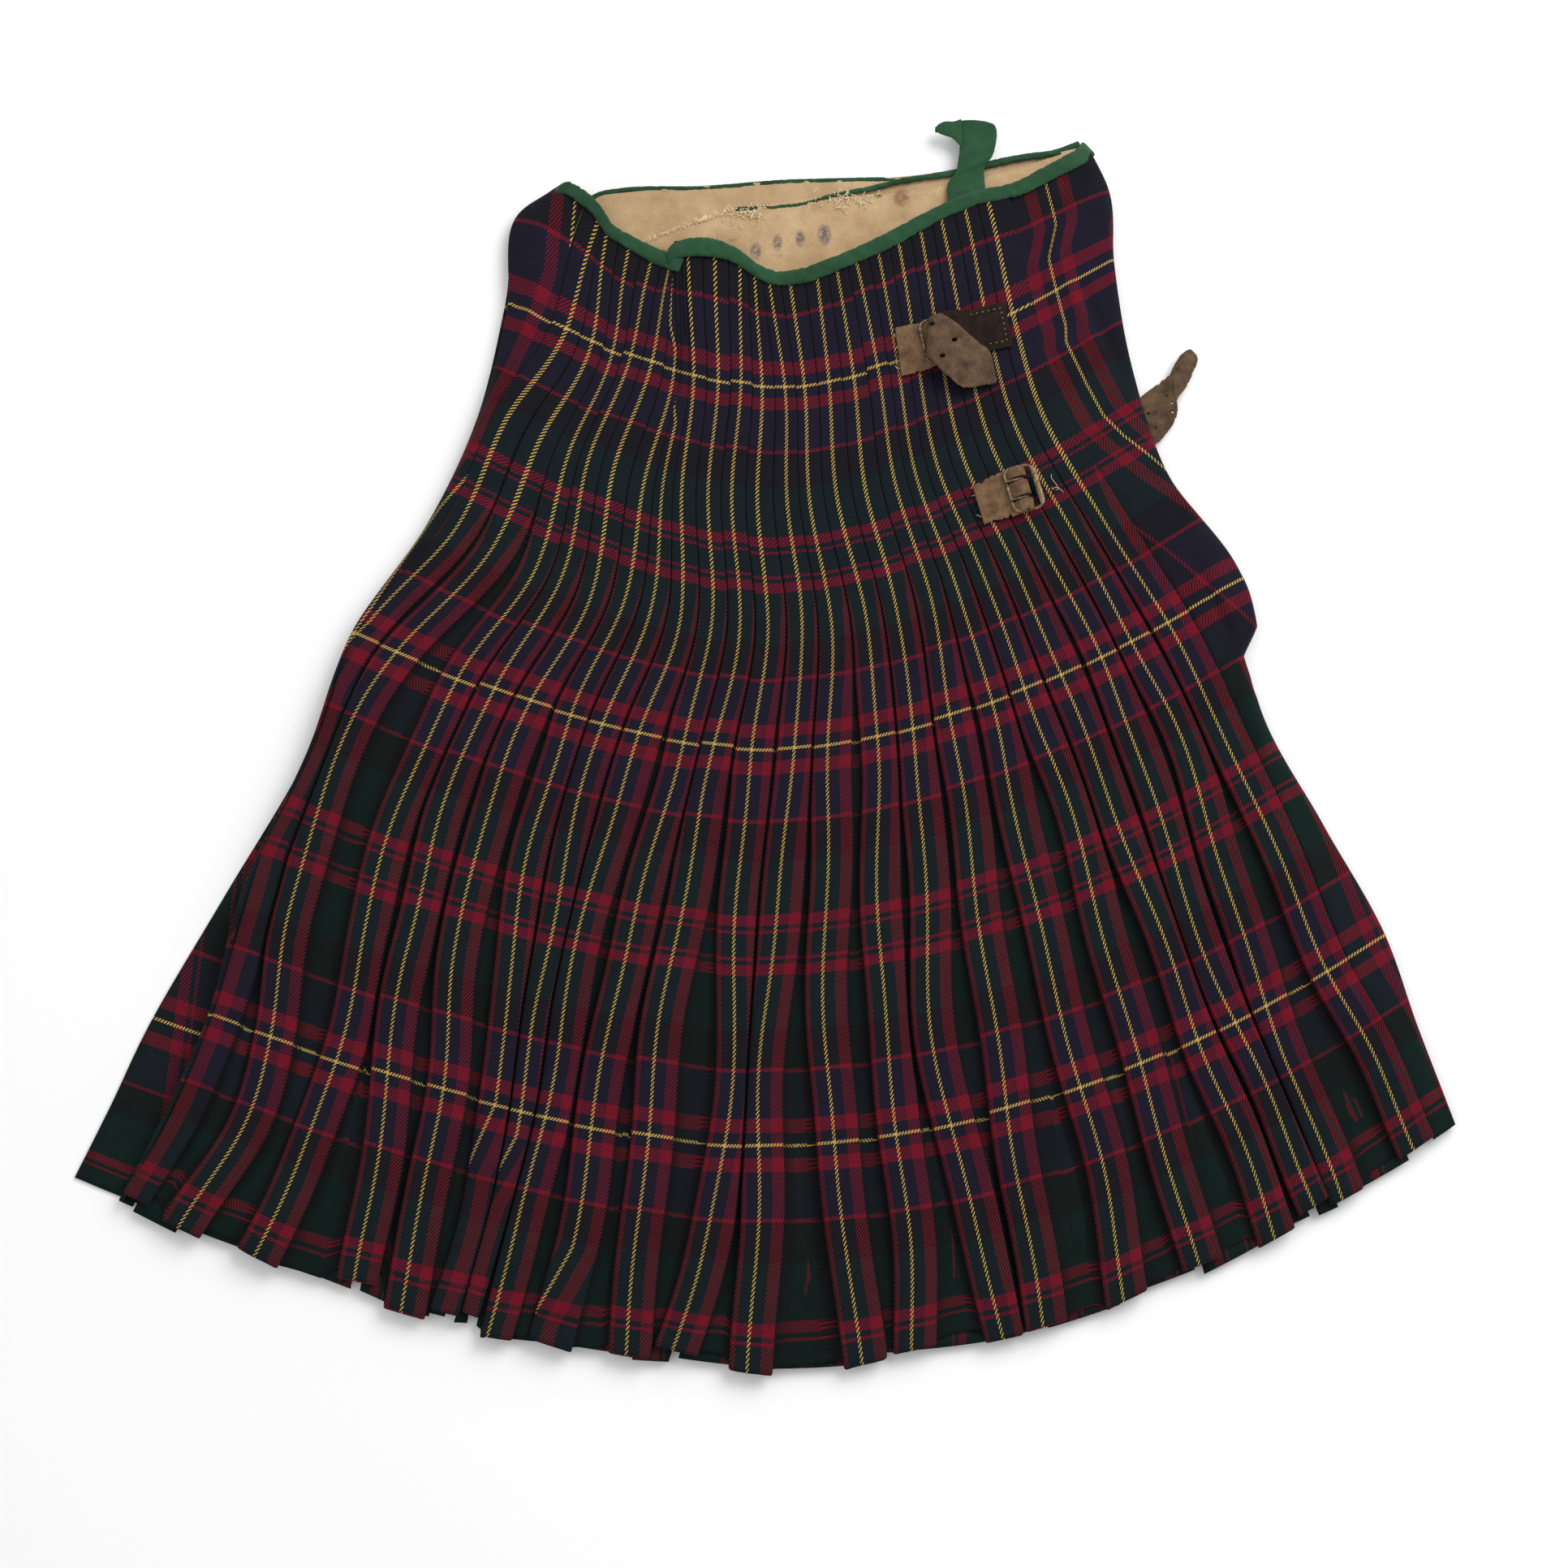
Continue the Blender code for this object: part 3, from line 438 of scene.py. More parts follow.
def simple_cloth(name, colour, pale, period, sheen=0.1):
    """A plain tape or drill: diagonal ribs on Object coordinates, with a blotchy wash of colour."""
    material, tree, shader = new_material(name, roughness=0.85, sheen=sheen)
    coords = node(tree, "ShaderNodeTexCoord")
    split = node(tree, "ShaderNodeSeparateXYZ")
    tree.links.new(coords.outputs["Object"], split.inputs[0])
    x, y = split.outputs["X"], split.outputs["Y"]
    slant = math_node(tree, "ADD", x, math_node(tree, "MULTIPLY", y, -0.8))
    rib = math_node(tree, "SINE", math_node(tree, "MULTIPLY", slant, 2 * math.pi / (period * MM)))
    blotch = noise(tree, coords.outputs["Object"], 45.0, 5.0, 0.65)
    fine = noise(tree, coords.outputs["Object"], 1200.0, 2.0)
    share = math_node(tree, "MULTIPLY_ADD", blotch, 2.4, -0.75, clamp=True)
    tone = mix_colour(tree, share, colour, pale)
    level = math_node(tree, "MULTIPLY_ADD", rib, 0.16, 0.84)
    level = math_node(tree, "MULTIPLY", level, math_node(tree, "MULTIPLY_ADD", fine, 0.3, 0.87))
    dark = node(tree, "ShaderNodeCombineXYZ")
    for socket in dark.inputs:
        tree.links.new(level, socket)
    tone = mix_colour(tree, 1.0, tone, dark.outputs[0], "MULTIPLY")
    tree.links.new(tone, shader.inputs["Base Color"])
    bump = node(tree, "ShaderNodeBump")
    bump.inputs["Strength"].default_value = 0.4
    bump.inputs["Distance"].default_value = 0.0002
    tree.links.new(math_node(tree, "ADD", rib, fine), bump.inputs["Height"])
    tree.links.new(bump.outputs["Normal"], shader.inputs["Normal"])
    return material, tree, shader, tone, coords


def leather_material(name, dark, light, roughness=0.65):
    """Worn strap leather: a blotchy brown with pale scuffs and a pebbled bump."""
    material, tree, shader = new_material(name, roughness=roughness)
    coords = node(tree, "ShaderNodeTexCoord")
    blotch = noise(tree, coords.outputs["Object"], 130.0, 5.0, 0.7)
    grain = noise(tree, coords.outputs["Object"], 1100.0, 4.0, 0.65)
    share = math_node(tree, "MULTIPLY_ADD", blotch, 2.6, -0.85, clamp=True)
    tone = mix_colour(tree, share, dark, light)
    level = math_node(tree, "MULTIPLY_ADD", grain, 0.9, 0.55)
    shade = node(tree, "ShaderNodeCombineXYZ")
    for socket in shade.inputs:
        tree.links.new(level, socket)
    tone = mix_colour(tree, 1.0, tone, shade.outputs[0], "MULTIPLY")
    tree.links.new(tone, shader.inputs["Base Color"])
    bump = node(tree, "ShaderNodeBump")
    bump.inputs["Strength"].default_value = 0.5
    bump.inputs["Distance"].default_value = 0.0004
    tree.links.new(grain, bump.inputs["Height"])
    tree.links.new(bump.outputs["Normal"], shader.inputs["Normal"])
    return material


def metal_material(name):
    """Tarnished brown steel with brighter rubbed spots."""
    material, tree, shader = new_material(name, roughness=0.5, metallic=0.6)
    coords = node(tree, "ShaderNodeTexCoord")
    blotch = noise(tree, coords.outputs["Object"], 420.0, 4.0, 0.7)
    share = math_node(tree, "MULTIPLY_ADD", blotch, 3.0, -1.1, clamp=True)
    tone = mix_colour(tree, share, srgb(66, 50, 38), srgb(168, 144, 112))
    tree.links.new(tone, shader.inputs["Base Color"])
    rough = math_node(tree, "MULTIPLY_ADD", blotch, 0.4, 0.35)
    tree.links.new(rough, shader.inputs["Roughness"])
    return material


TARTAN = tartan_material("kilt_cloth")
DRILL, drill_tree, drill_shader, drill_tone, drill_coords = simple_cloth(
    "drill_lining", srgb(172, 140, 102), srgb(208, 178, 136), 1.7
)


def mark_lining():
    """Faded ink smudges too worn to read, and rusty stains, each an oval at its place on the lining."""
    split = node(drill_tree, "ShaderNodeSeparateXYZ")
    drill_tree.links.new(drill_coords.outputs["Object"], split.inputs[0])
    streaks = noise(drill_tree, drill_coords.outputs["Object"], 330.0, 3.0, 0.8)
    tone = drill_tone
    for x, y, half_x, half_y, strength, colour in (
        (-7.5, 280.5, 3.4, 5.8, 0.85, srgb(92, 84, 86)), (5.2, 286.5, 2.8, 5.4, 0.85, srgb(92, 84, 86)),
        (18.5, 289.0, 3.0, 5.4, 0.85, srgb(92, 84, 86)), (32.6, 291.5, 4.0, 7.2, 0.9, srgb(92, 84, 86)),
        (-20.8, 288.0, 3.0, 1.0, 0.4, srgb(92, 84, 86)), (5.2, 278.2, 3.5, 0.9, 0.4, srgb(92, 84, 86)),
        (64.1, 316.8, 2.6, 2.2, 0.8, srgb(104, 68, 44)), (77.8, 315.6, 5.0, 6.5, 0.75, srgb(112, 74, 48)),
        (-70.0, 300.0, 16.0, 9.0, 0.25, srgb(150, 116, 80)),
        (120.0, 322.0, 18.0, 10.0, 0.25, srgb(140, 106, 72)),
    ):
        dx = math_node(drill_tree, "SUBTRACT", split.outputs["X"], x * MM)
        dx = math_node(drill_tree, "DIVIDE", dx, half_x * MM)
        dy = math_node(drill_tree, "SUBTRACT", split.outputs["Y"], y * MM)
        dy = math_node(drill_tree, "DIVIDE", dy, half_y * MM)
        dx_squared, dy_squared = (math_node(drill_tree, "MULTIPLY", d, d) for d in (dx, dy))
        far = math_node(drill_tree, "ADD", dx_squared, dy_squared)
        near = math_node(drill_tree, "MULTIPLY_ADD", far, -1.0, 1.3, clamp=True)
        broken = math_node(drill_tree, "MULTIPLY_ADD", streaks, 5.0, -1.7, clamp=True)
        share = math_node(drill_tree, "MULTIPLY", math_node(drill_tree, "MULTIPLY", near, broken), strength)
        tone = mix_colour(drill_tree, share, tone, colour)
    drill_tree.links.new(tone, drill_shader.inputs["Base Color"])


mark_lining()
TAPE = simple_cloth("green_tape", srgb(15, 56, 30), srgb(34, 84, 50), 1.5)[0]
SUEDE = leather_material("strap_flesh_side", srgb(58, 42, 31), srgb(104, 82, 60), 0.85)
GRAIN = leather_material("strap_grain_side", srgb(28, 21, 18), srgb(46, 35, 29), 0.9)
GRAIN.node_tree.nodes["Principled BSDF"].inputs["Specular IOR Level"].default_value = 0.05
TAN = leather_material("chape_leather", srgb(76, 55, 38), srgb(126, 98, 69), 0.8)
STEEL = metal_material("tarnished_steel")
THREAD = new_material("pale_thread", 0.8)[0]
THREAD.node_tree.nodes["Principled BSDF"].inputs["Base Color"].default_value = (*srgb(172, 150, 116), 1)
DARK_THREAD = new_material("black_thread", 0.8)[0]
DARK_THREAD.node_tree.nodes["Principled BSDF"].inputs["Base Color"].default_value = (*srgb(14, 14, 16), 1)

# ---------------------------------------------------------------- the pleated back

ROWS = 230
SIDE_COLUMNS = 26


def back_cloth():
    """The pleated back as one sheet.

    Each pleat's columns run from its left crease, over its face and round its right crease, to the
    hollow before the next. A column's place is an arc length from the pleat's yellow line.
    """
    down = np.linspace(0, 617, ROWS)
    lines = yellow_lines(down)
    left_x, right_x = section("left_x", down)[:, None], section("right_x", down)[:, None]
    column = down[:, None]
    slope = (fall(lines + 2, column) - fall(lines - 2, column)) / 4
    lean = 1 / np.sqrt(1 + slope**2)  # x gained for each step along the weft
    room = np.diff(np.concatenate([left_x, lines, right_x], axis=1), axis=1)
    room_left, room_right = room[:, :-1] / lean, room[:, 1:] / lean
    open_share = 0.03 + 0.05 * np.clip((column - 160) / 90, 0, 1)  # of a pleat's room, left as a dark gap
    face_left = np.minimum(FACE_LEFT, 0.455 * (1 - open_share) * room_left)
    face_right = np.minimum(FACE_RIGHT, 0.545 * (1 - open_share) * room_right)
    # Where the pleats are sewn down, the cloth between two creases ends short of the red stripe.
    sewn = np.clip((FELL_END - column) / 36, 0, 1)
    take_left = 1 - sewn * (1 - np.minimum(1, 6.2 / face_left))
    take_right = 1 - sewn * (1 - np.minimum(1, 6.2 / face_right))
    tuck = np.zeros_like(lines)
    for which, start, end, slip in HIDDEN:
        tuck[:, which] += slip * np.clip((down - start) / 40, 0, 1) * np.clip((end - down) / 12, 0, 1)
    crown, step = section("crown", down)[:, None], section("step", down)[:, None]
    # Each pleat has its own slow rise and fall along its length, more where it hangs free.
    phase = RNG.uniform(0, 2 * math.pi, (3, COUNT))
    free = np.clip((column - 200) / 150, 0, 1)
    ripple = np.sin(column / 41 + phase[0]) + 0.7 * np.sin(column / 23 + phase[1])
    ripple = ripple + 0.5 * np.sin(column / 95 + phase[2])
    top = crown + (0.12 + 0.4 * free) * ripple
    tilt = 0.9 * free * np.sin(column / 60 + phase[1] * 2)

    xs, hs, us, deep = [], [], [], []

    def add(offset, height, u_left, u_right, which, hollow=0.0):
        """One more column of the pleats: its x, its height, the cloth's u before and after it, and how much
        painted shade it takes.
        """
        xs.append(lines[:, which] + offset * lean[:, which])
        hs.append(height)
        us.append((u_left + 0 * down, u_right + 0 * down))
        deep.append(hollow + 0 * down)

    for i in range(COUNT):
        a, b, t, st = face_left[:, i], face_right[:, i], top[:, i], step[:, 0]
        ti = tilt[:, i]
        k = tuck[:, i]
        p, q = take_left[:, i], take_right[:, i]
        add(-a + 0.10, t - st - 0.15, 54.0 if i else -a * p, -a * p + k, i, 1.0)
        add(-a - 0.10, t - 0.55 * st - ti * 0.3, -a * p + k, -a * p + k, i, 0.7)
        add(-a + 0.30, t - 0.18 * st - ti * 0.3, (0.2 - a) * p + k, (0.2 - a) * p + k, i, 0.2)
        add(-a + 1.3, t - ti * 0.2, (1.3 - a) * p + k, (1.3 - a) * p + k, i)
        add(-0.5 * a, t + 0.10 * st, -0.5 * a * p + k, -0.5 * a * p + k, i)
        add(0 * a, t + 0.15 * st, k, k, i)
        add(0.5 * b, t + 0.25 * st + ti * 0.3, 0.5 * b * q + k, 0.5 * b * q + k, i)
        add(b - 1.5, t + 0.30 * st + ti * 0.5, (b - 1.5) * q + k, (b - 1.5) * q + k, i)
        add(b - 0.35, t + 0.20 * st + ti * 0.5, (b - 0.35) * q + k, (b - 0.35) * q + k, i, 0.15)
        add(b + 0.10, t - 0.25 * st, b * q + k, b * q + k, i, 0.6)
        add(b - 0.15, t - 0.85 * st, b * q + k, 84.0, i, 1.0)
        if i + 1 < COUNT:
            gap = np.maximum(room_right[:, i] - b - face_left[:, i + 1], 0.0)
            low = 0.5 * (t + top[:, i + 1]) - st
            # Painted shade on the gap's floor: the narrower the gap, the darker.
            shade = np.clip(1.5 - gap / 6, 0.25, 1.0)
            within = 84 - 0.33 * gap
            add(b - 0.10 + 0.33 * gap, low - 0.40 * np.minimum(gap, 5), within, within, i, shade)
            add(b - 0.10 + 0.72 * gap, low - 0.35 * np.minimum(gap, 5), 84 - 0.72 * gap, 54.0, i, shade)
    x = np.stack(xs, axis=1)
    h = np.stack(hs, axis=1)
    u_left = np.stack([pair[0] for pair in us], axis=1)  # what the column to the left ends with
    u_right = np.stack([pair[1] for pair in us], axis=1)
    return down, lines, x, h, u_left, u_right, np.stack(deep, axis=1)


def soft_folds(down, x, folds):
    """The heights of round ridges and troughs, each a bell across the line between its two ends."""
    total = np.zeros_like(x)
    for start, start_x, end, end_x, width, height in folds:
        line = np.interp(down, (start, end), (start_x, end_x))[:, None]
        fade = np.clip((down - start) / 18, 0, 1) * np.clip((end - down) / 18, 0, 1)
        total += height * fade[:, None] * np.exp(-(((x - line) / width) ** 2))
    return total


def build_back():
    """Joins the plain sides and the pleats into rows, and sets each corner's place on the cloth."""
    down, lines, x, h, u_left, u_right, deep = back_cloth()
    rows = len(down)
    left_x, right_x = section("left_x", down), section("right_x", down)
    right_x = right_x + np.interp(down, (280, 300, 313, 323, 336, 350), (0, 2, 3.5, -4.5, -1.5, 0))
    crown = section("crown", down)
    side = crown - BACK_Z
    # Left side, from the lip on the floor up to the first crease.
    first = x[:, 0]
    span = first - left_x
    around = np.array([(7.0, -0.55), (2.5, -0.52), (0.6, -0.45), (0.0, -0.22), (0.25, 0.08), (0.9, 0.32)])
    lip_x = left_x[:, None] + around[:, 0]
    lip_h = BACK_Z + around[:, 1] * side[:, None]
    lip_u = -np.cumsum(np.r_[0, np.hypot(np.diff(around[:, 0]), np.diff(around[:, 1]) * 8)])[::-1]
    shares = np.linspace(0.08, 0.96, 16)
    swell = np.interp(
        shares, (0.08, 0.22, 0.36, 0.52, 0.68, 0.84, 0.96), (0.5, 0.72, 0.83, 0.89, 0.9, 0.9, 0.86)
    )
    body_x = left_x[:, None] + 0.9 + shares * (span[:, None] - 0.9)
    body_h = BACK_Z + swell * side[:, None]
    body_h = body_h + 0.4 * np.sin(body_x / 11 + down[:, None] / 27) * np.clip(shares * 4, 0, 1)
    body_h = body_h + soft_folds(down, body_x, LEFT_FOLDS) * np.clip(shares * 5, 0, 1)
    left_columns = np.concatenate([lip_x, body_x], axis=1)
    left_heights = np.concatenate([lip_h, body_h], axis=1)
    plain_line = np.interp(down, *np.array(LEFT_LINE, float).T)
    left_u = (left_columns - plain_line[:, None]) * 1.06
    left_u[:, :6] = left_u[:, 6:7] + lip_u - 1.0
    # Right side, from the last crease down over the plain cloth to the lip.
    last = x[:, -1]
    span = right_x - last
    shares_r = np.concatenate([[0.03], np.linspace(0.08, 0.95, SIDE_COLUMNS - 1)])
    swell_r = np.interp(
        shares_r, (0.03, 0.10, 0.22, 0.36, 0.5, 0.64, 0.77, 0.88, 0.95),
        (0.80, 0.83, 0.86, 0.87, 0.85, 0.81, 0.74, 0.62, 0.48),
    )
    body_r = last[:, None] + shares_r * (span[:, None] - 0.8)
    body_rh = BACK_Z + swell_r * side[:, None]
    lip_r = right_x[:, None] - around[::-1, 0]
    lip_rh = BACK_Z + np.array([0.30, 0.0, -0.3, -0.5, -0.6, -0.62]) * side[:, None] + 0.0
    lip_rh = np.maximum(lip_rh, 0.9)
    line_r = np.interp(down, *np.array(RIGHT_LINE, float).T)
    right_columns = np.concatenate([body_r, lip_r], axis=1)
    right_heights = np.concatenate([body_rh, lip_rh], axis=1)
    bulging = (down[:, None] < BULGE_END) * np.clip((down[:, None] - 150) / 100, 0, 1)
    body = np.clip((SIDE_COLUMNS + 2 - np.arange(right_columns.shape[1])) / 3, 0, 1)
    right_heights = right_heights + body * (2.2 * bulging - 1.6 * (down[:, None] >= BULGE_END))
    # The drag fold: cloth to its right lies over the cloth to its left, and dips before it.
    fold_x = np.interp(down, *np.array(DRAG_FOLD, float).T)[:, None]
    past = (right_columns - fold_x) / 2.0
    fade = np.clip((62 - down[:, None]) / 16, 0, 1)
    ridge = 1.3 / (1 + np.exp(-2 * past)) - 1.0 * np.exp(-((past + 1.3) ** 2))
    right_heights = right_heights + body * fade * ridge
    right_heights = right_heights + body * soft_folds(down, right_columns, RIGHT_FOLDS)
    # Soft dents cross the plain cloth beside the last pleat.
    dents = np.sin(right_columns / 13 + down[:, None] / 31) + np.sin(down[:, None] / 17 - right_columns / 22)
    right_heights = right_heights + 0.35 * body * dents
    upper_u = (right_columns - line_r[:, None]) * 1.12
    lower_u = 95.0 + (right_columns - lines[:, -1:] - 26.0)
    right_u = np.where(down[:, None] < BULGE_END, upper_u, lower_u)
    all_x = np.concatenate([left_columns, x, right_columns], axis=1)
    all_h = np.concatenate([left_heights, h, right_heights], axis=1)
    u_right = u_right.copy()
    u_right[:, -1] = right_u[:, 0] - 1
    ul = np.concatenate([left_u, u_left, right_u], axis=1)
    ur = np.concatenate([left_u, u_right, right_u], axis=1)
    ul_below = ul.copy()
    ur_below = ur.copy()
    turn = int(np.searchsorted(down, BULGE_END))  # the first row past the bulge
    ul_below[turn, -right_u.shape[1]:] = upper_u[turn]
    ur_below[turn, -right_u.shape[1]:] = upper_u[turn]
    hollow = np.concatenate([np.zeros_like(left_u), deep, np.zeros_like(right_u)], axis=1)
    n_left, n_pleat = left_columns.shape[1], x.shape[1]
    column = down[:, None]
    y = fall(all_x, column)
    edge = np.interp(all_x[0], *np.array(TOP_EDGE, float).T)
    above = y[0] - edge  # how far the top row lies past the bound edge
    y -= above * np.clip(1 - column / 66, 0, 1) ** 1.4
    # The hem's pleats end unevenly: each at its own drop and slant, with its inner folds a little shorter.
    drops = PLEAT["drop"] + RNG.uniform(-1.5, 1.5, COUNT)
    slant = RNG.uniform(-2.0, 2.0, COUNT)
    short = np.array([4.5, 1.6, 0.5, 0, 0, 0, 0, 0, 0.5, 1.6, 4.0, 5.5, 5.5])
    across = np.array([-1, -1, -0.9, -0.8, -0.4, 0, 0.4, 0.8, 0.95, 1, 1, 1, 1])
    ends = -drops[:, None] + slant[:, None] * across + short * RNG.uniform(0.5, 1.3, (COUNT, 1))
    ends = np.concatenate([np.zeros(n_left), ends.ravel()[:n_pleat], np.full(right_columns.shape[1], -2.0)])
    hang = np.clip((column - 545) / 72, 0, 1) ** 2
    y += ends * hang
    all_h = np.where(all_h > 7, np.maximum(all_h - 3.2 * hang, 6.4), all_h)  # the hem rests lower
    points = np.stack([all_x, y, np.maximum(all_h, 0.9)], axis=2)
    v = column + np.zeros_like(all_x)
    shift = RNG.normal(0, 0.9, COUNT)
    moved = np.repeat(shift, 13)[:n_pleat]
    moved = np.concatenate([np.zeros(n_left), moved, np.zeros(right_columns.shape[1])])
    v = v - 66 + moved
    # Corner values: a face takes its left side's u from the column's right value, and so on.
    # A face's lower corners lie in the next row, which ends the faces above it.
    face_uv = np.stack([
        np.stack([ur[:-1, :-1], v[:-1, :-1]], axis=2), np.stack([ul[:-1, 1:], v[:-1, :-1]], axis=2),
        np.stack([ul_below[1:, 1:], v[1:, :-1]], axis=2), np.stack([ur_below[1:, :-1], v[1:, :-1]], axis=2),
    ], axis=2)
    quads = grid_quads(rows, all_x.shape[1])
    obj = put_mesh("pleated_back", points.reshape(-1, 3), quads[:, :, ::-1].reshape(-1, 4), TARTAN,
                   uv=face_uv[:, :, ::-1].reshape(-1, 2))
    # Each corner's share of painted shade, which the cloth's material reads as the hollow attribute.
    layer = obj.data.attributes.new("hollow", "FLOAT", "POINT")
    layer.data.foreach_set("value", hollow.astype(np.float32).ravel())
    wall = obj.modifiers.new("Wall", "SOLIDIFY")
    wall.thickness = 0.8 * MM
    wall.offset = -1
    return obj, points, down, lines


back, back_points, back_down, back_lines = build_back()
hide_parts("back_pleats")
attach(back, "kilt")


def apron_rings(columns, table, base, thickness, across, rows):
    """A slab's upper and lower points from sections through three points each."""
    section_rows = rows_of(columns, table)
    keys = np.linspace(0, len(table) - 1, rows)
    index = np.arange(len(table))
    row = {name: smooth(index, values, keys)[:, None] for name, values in section_rows.items()}
    share = np.linspace(0, 1, across)
    x = row["left_x"] + share * (row["right_x"] - row["left_x"])
    left = np.clip((row["mid_x"] - x) / (row["mid_x"] - row["left_x"]), 0, 1)
    right = np.clip((x - row["mid_x"]) / (row["right_x"] - row["mid_x"]), 0, 1)
    y = row["mid_y"] + (row["left_y"] - row["mid_y"]) * left**1.7
    y = y + (row["right_y"] - row["mid_y"]) * right**1.8
    lower = np.stack([x, y, np.full_like(x, base)], axis=2)
    upper = lower + (0, 0, thickness)
    return upper, lower, keys


def build_apron(name, table, base, downs, thickness=CLOTH):
    """One front panel: a wall of cloth between its rows of edge and middle points."""
    upper, lower, keys = apron_rings(APRON_COLUMNS, table, base, thickness, 90, 120)
    v = np.interp(keys, np.arange(len(table)), downs)
    x = upper[:, :, 0]
    u = (x - 20) * np.interp(v, (0, 617), (1.12, 0.98))[:, None]
    uv = np.stack([u, np.broadcast_to((v - 66)[:, None], u.shape)], axis=2)
    return slab_mesh(name, (upper, lower), uv, TARTAN)


DOWNS = SECTION["down"]
over = build_apron("over_apron_cloth", OVER_APRON, 0.0, DOWNS)
under = build_apron("under_apron_cloth", UNDER_APRON, 2.8, DOWNS)
for piece, cad, size in ((over, "over_apron", (0.7, 0.6)), (under, "under_apron", (0.65, 0.6))):
    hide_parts(cad)
    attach(piece, "kilt")


def build_lining(name, table, base):
    """One drill lining: a thin wall of cloth that lies just above its apron's top."""
    upper, lower, keys = apron_rings(APRON_COLUMNS, table, base, 0.8, 60, 24)
    uv = np.stack([upper[:, :, 0], -upper[:, :, 1]], axis=2)
    return slab_mesh(name, (upper, lower), uv, DRILL)


over_lining = build_lining("over_apron_drill", OVER_LINING, 1.7)
under_lining = build_lining("under_apron_drill", UNDER_LINING, 4.5)
for piece, cad in ((over_lining, "over_apron_lining"), (under_lining, "under_apron_lining")):
    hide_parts(cad)
    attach(piece, "kilt")


# ---------------------------------------------------------------- tapes, straps and chapes


def strip(name, rows, thickness, material, ragged=(0.0, 0.0), pucker=0.0, crown=0.0, across=16, step=0.8):
    """A closed strip lofted through cross-lines, each (low x, low y, high x, high y, z).

    Both edges follow a cubic through their points. The wall is thin and round at its edges, swells
    by crown at its middle, and its surface puckers along its length. ragged is how far wear has
    eaten into the two edges, in millimetres.
    """
    table = np.array(rows, float)
    keys = np.arange(len(table), dtype=float)
    length = np.hypot(*np.diff((table[:, :2] + table[:, 2:4]) / 2, axis=0).T).sum()
    at = np.linspace(0, len(table) - 1, max(8, int(length / step)))
    low = smooth(keys, table[:, (0, 1, 4)], at)
    high = smooth(keys, table[:, (2, 3, 4)], at)
    random = np.random.default_rng(len(name) * 13 + len(rows))
    width = np.linalg.norm(high - low, axis=1)
    bites = random.normal(0, 1, (2, len(at)))
    bites = np.abs(np.stack([np.convolve(row, (0.3, 0.5, 0.3), "same") for row in bites]))
    start = np.clip(ragged[0] * bites[0] / width, 0, 0.2)[:, None]
    stop = 1 - np.clip(ragged[1] * bites[1] / width, 0, 0.2)[:, None]
    share = np.linspace(0, 1, across)
    share = 0.5 - 0.5 * np.cos(math.pi * share) * (0.7 + 0.3 * np.abs(np.cos(math.pi * share)))
    place = start + (stop - start) * share
    middle = low[:, None] + (high - low)[:, None] * place[:, :, None]
    along = np.gradient((low + high) / 2, axis=0)
    away = np.cross(along, high - low)
    away /= np.linalg.norm(away, axis=1)[:, None]
    if away[:, 2].mean() < 0:
        away = -away
    rounding = np.sqrt(np.clip(1 - np.abs(2 * share - 1) ** 6, 0.02, 1))
    travel = np.concatenate([[0], np.cumsum(np.linalg.norm(np.diff((low + high) / 2, axis=0), axis=1))])
    waves = np.sin(travel / 1.9)[:, None] * np.cos(3 * share + travel[:, None] / 7)
    waves = waves + 0.7 * np.sin(travel / 4.3 + 1)[:, None]
    lift = pucker * waves * np.sin(math.pi * share) + crown * np.sin(math.pi * share)
    half = thickness / 2 * rounding
    upper = middle + away[:, None] * (lift + half)[:, :, None]
    lower = middle + away[:, None] * (lift - half)[:, :, None]
    lower[:, :, 2] = np.maximum(lower[:, :, 2], 0.1)
    uv = np.stack([middle[:, :, 0], -middle[:, :, 1]], axis=2)
    obj = slab_mesh(name, (upper, lower), uv, material)
    return obj, (float(width.mean()) * MM, float(travel[-1]) * MM)


def cut_through(obj, cutters):
    """Takes the cutters' volume out of the piece, then removes them."""
    for cutter in cutters:
        hole = obj.modifiers.new("Hole", "BOOLEAN")
        hole.operation = "DIFFERENCE"
        hole.solver = "EXACT"
        hole.use_self = True
        hole.object = cutter
    graph = bpy.context.evaluated_depsgraph_get()
    mesh = bpy.data.meshes.new_from_object(obj.evaluated_get(graph))
    obj.modifiers.clear()
    obj.data = mesh
    for cutter in cutters:
        bpy.data.objects.remove(cutter)


def prism(centre, half_length, half_width, turn, sides):
    """An upright cutter: an oval with that many sides about (x, y), or a slot when it has four."""
    angles = 2 * math.pi * (np.arange(sides) + 0.5) / sides
    scale = math.sqrt(2) if sides == 4 else 1.0
    x, y = half_length * scale * np.cos(angles), half_width * scale * np.sin(angles)
    c, s = math.cos(math.radians(turn)), math.sin(math.radians(turn))
    ring = np.stack([centre[0] + c * x - s * y, centre[1] + s * x + c * y], axis=1)
    points = np.concatenate([np.column_stack([ring, np.full(sides, z)]) for z in (-5.0, 40.0)]) * MM
    faces = [(i, (i + 1) % sides, sides + (i + 1) % sides, sides + i) for i in range(sides)]
    faces += [tuple(range(sides))[::-1], tuple(range(sides, 2 * sides))]
    mesh = bpy.data.meshes.new("cutter")
    mesh.from_pydata(points.tolist(), [], faces)
    obj = bpy.data.objects.new("cutter", mesh)
    bpy.context.scene.collection.objects.link(obj)
    return obj


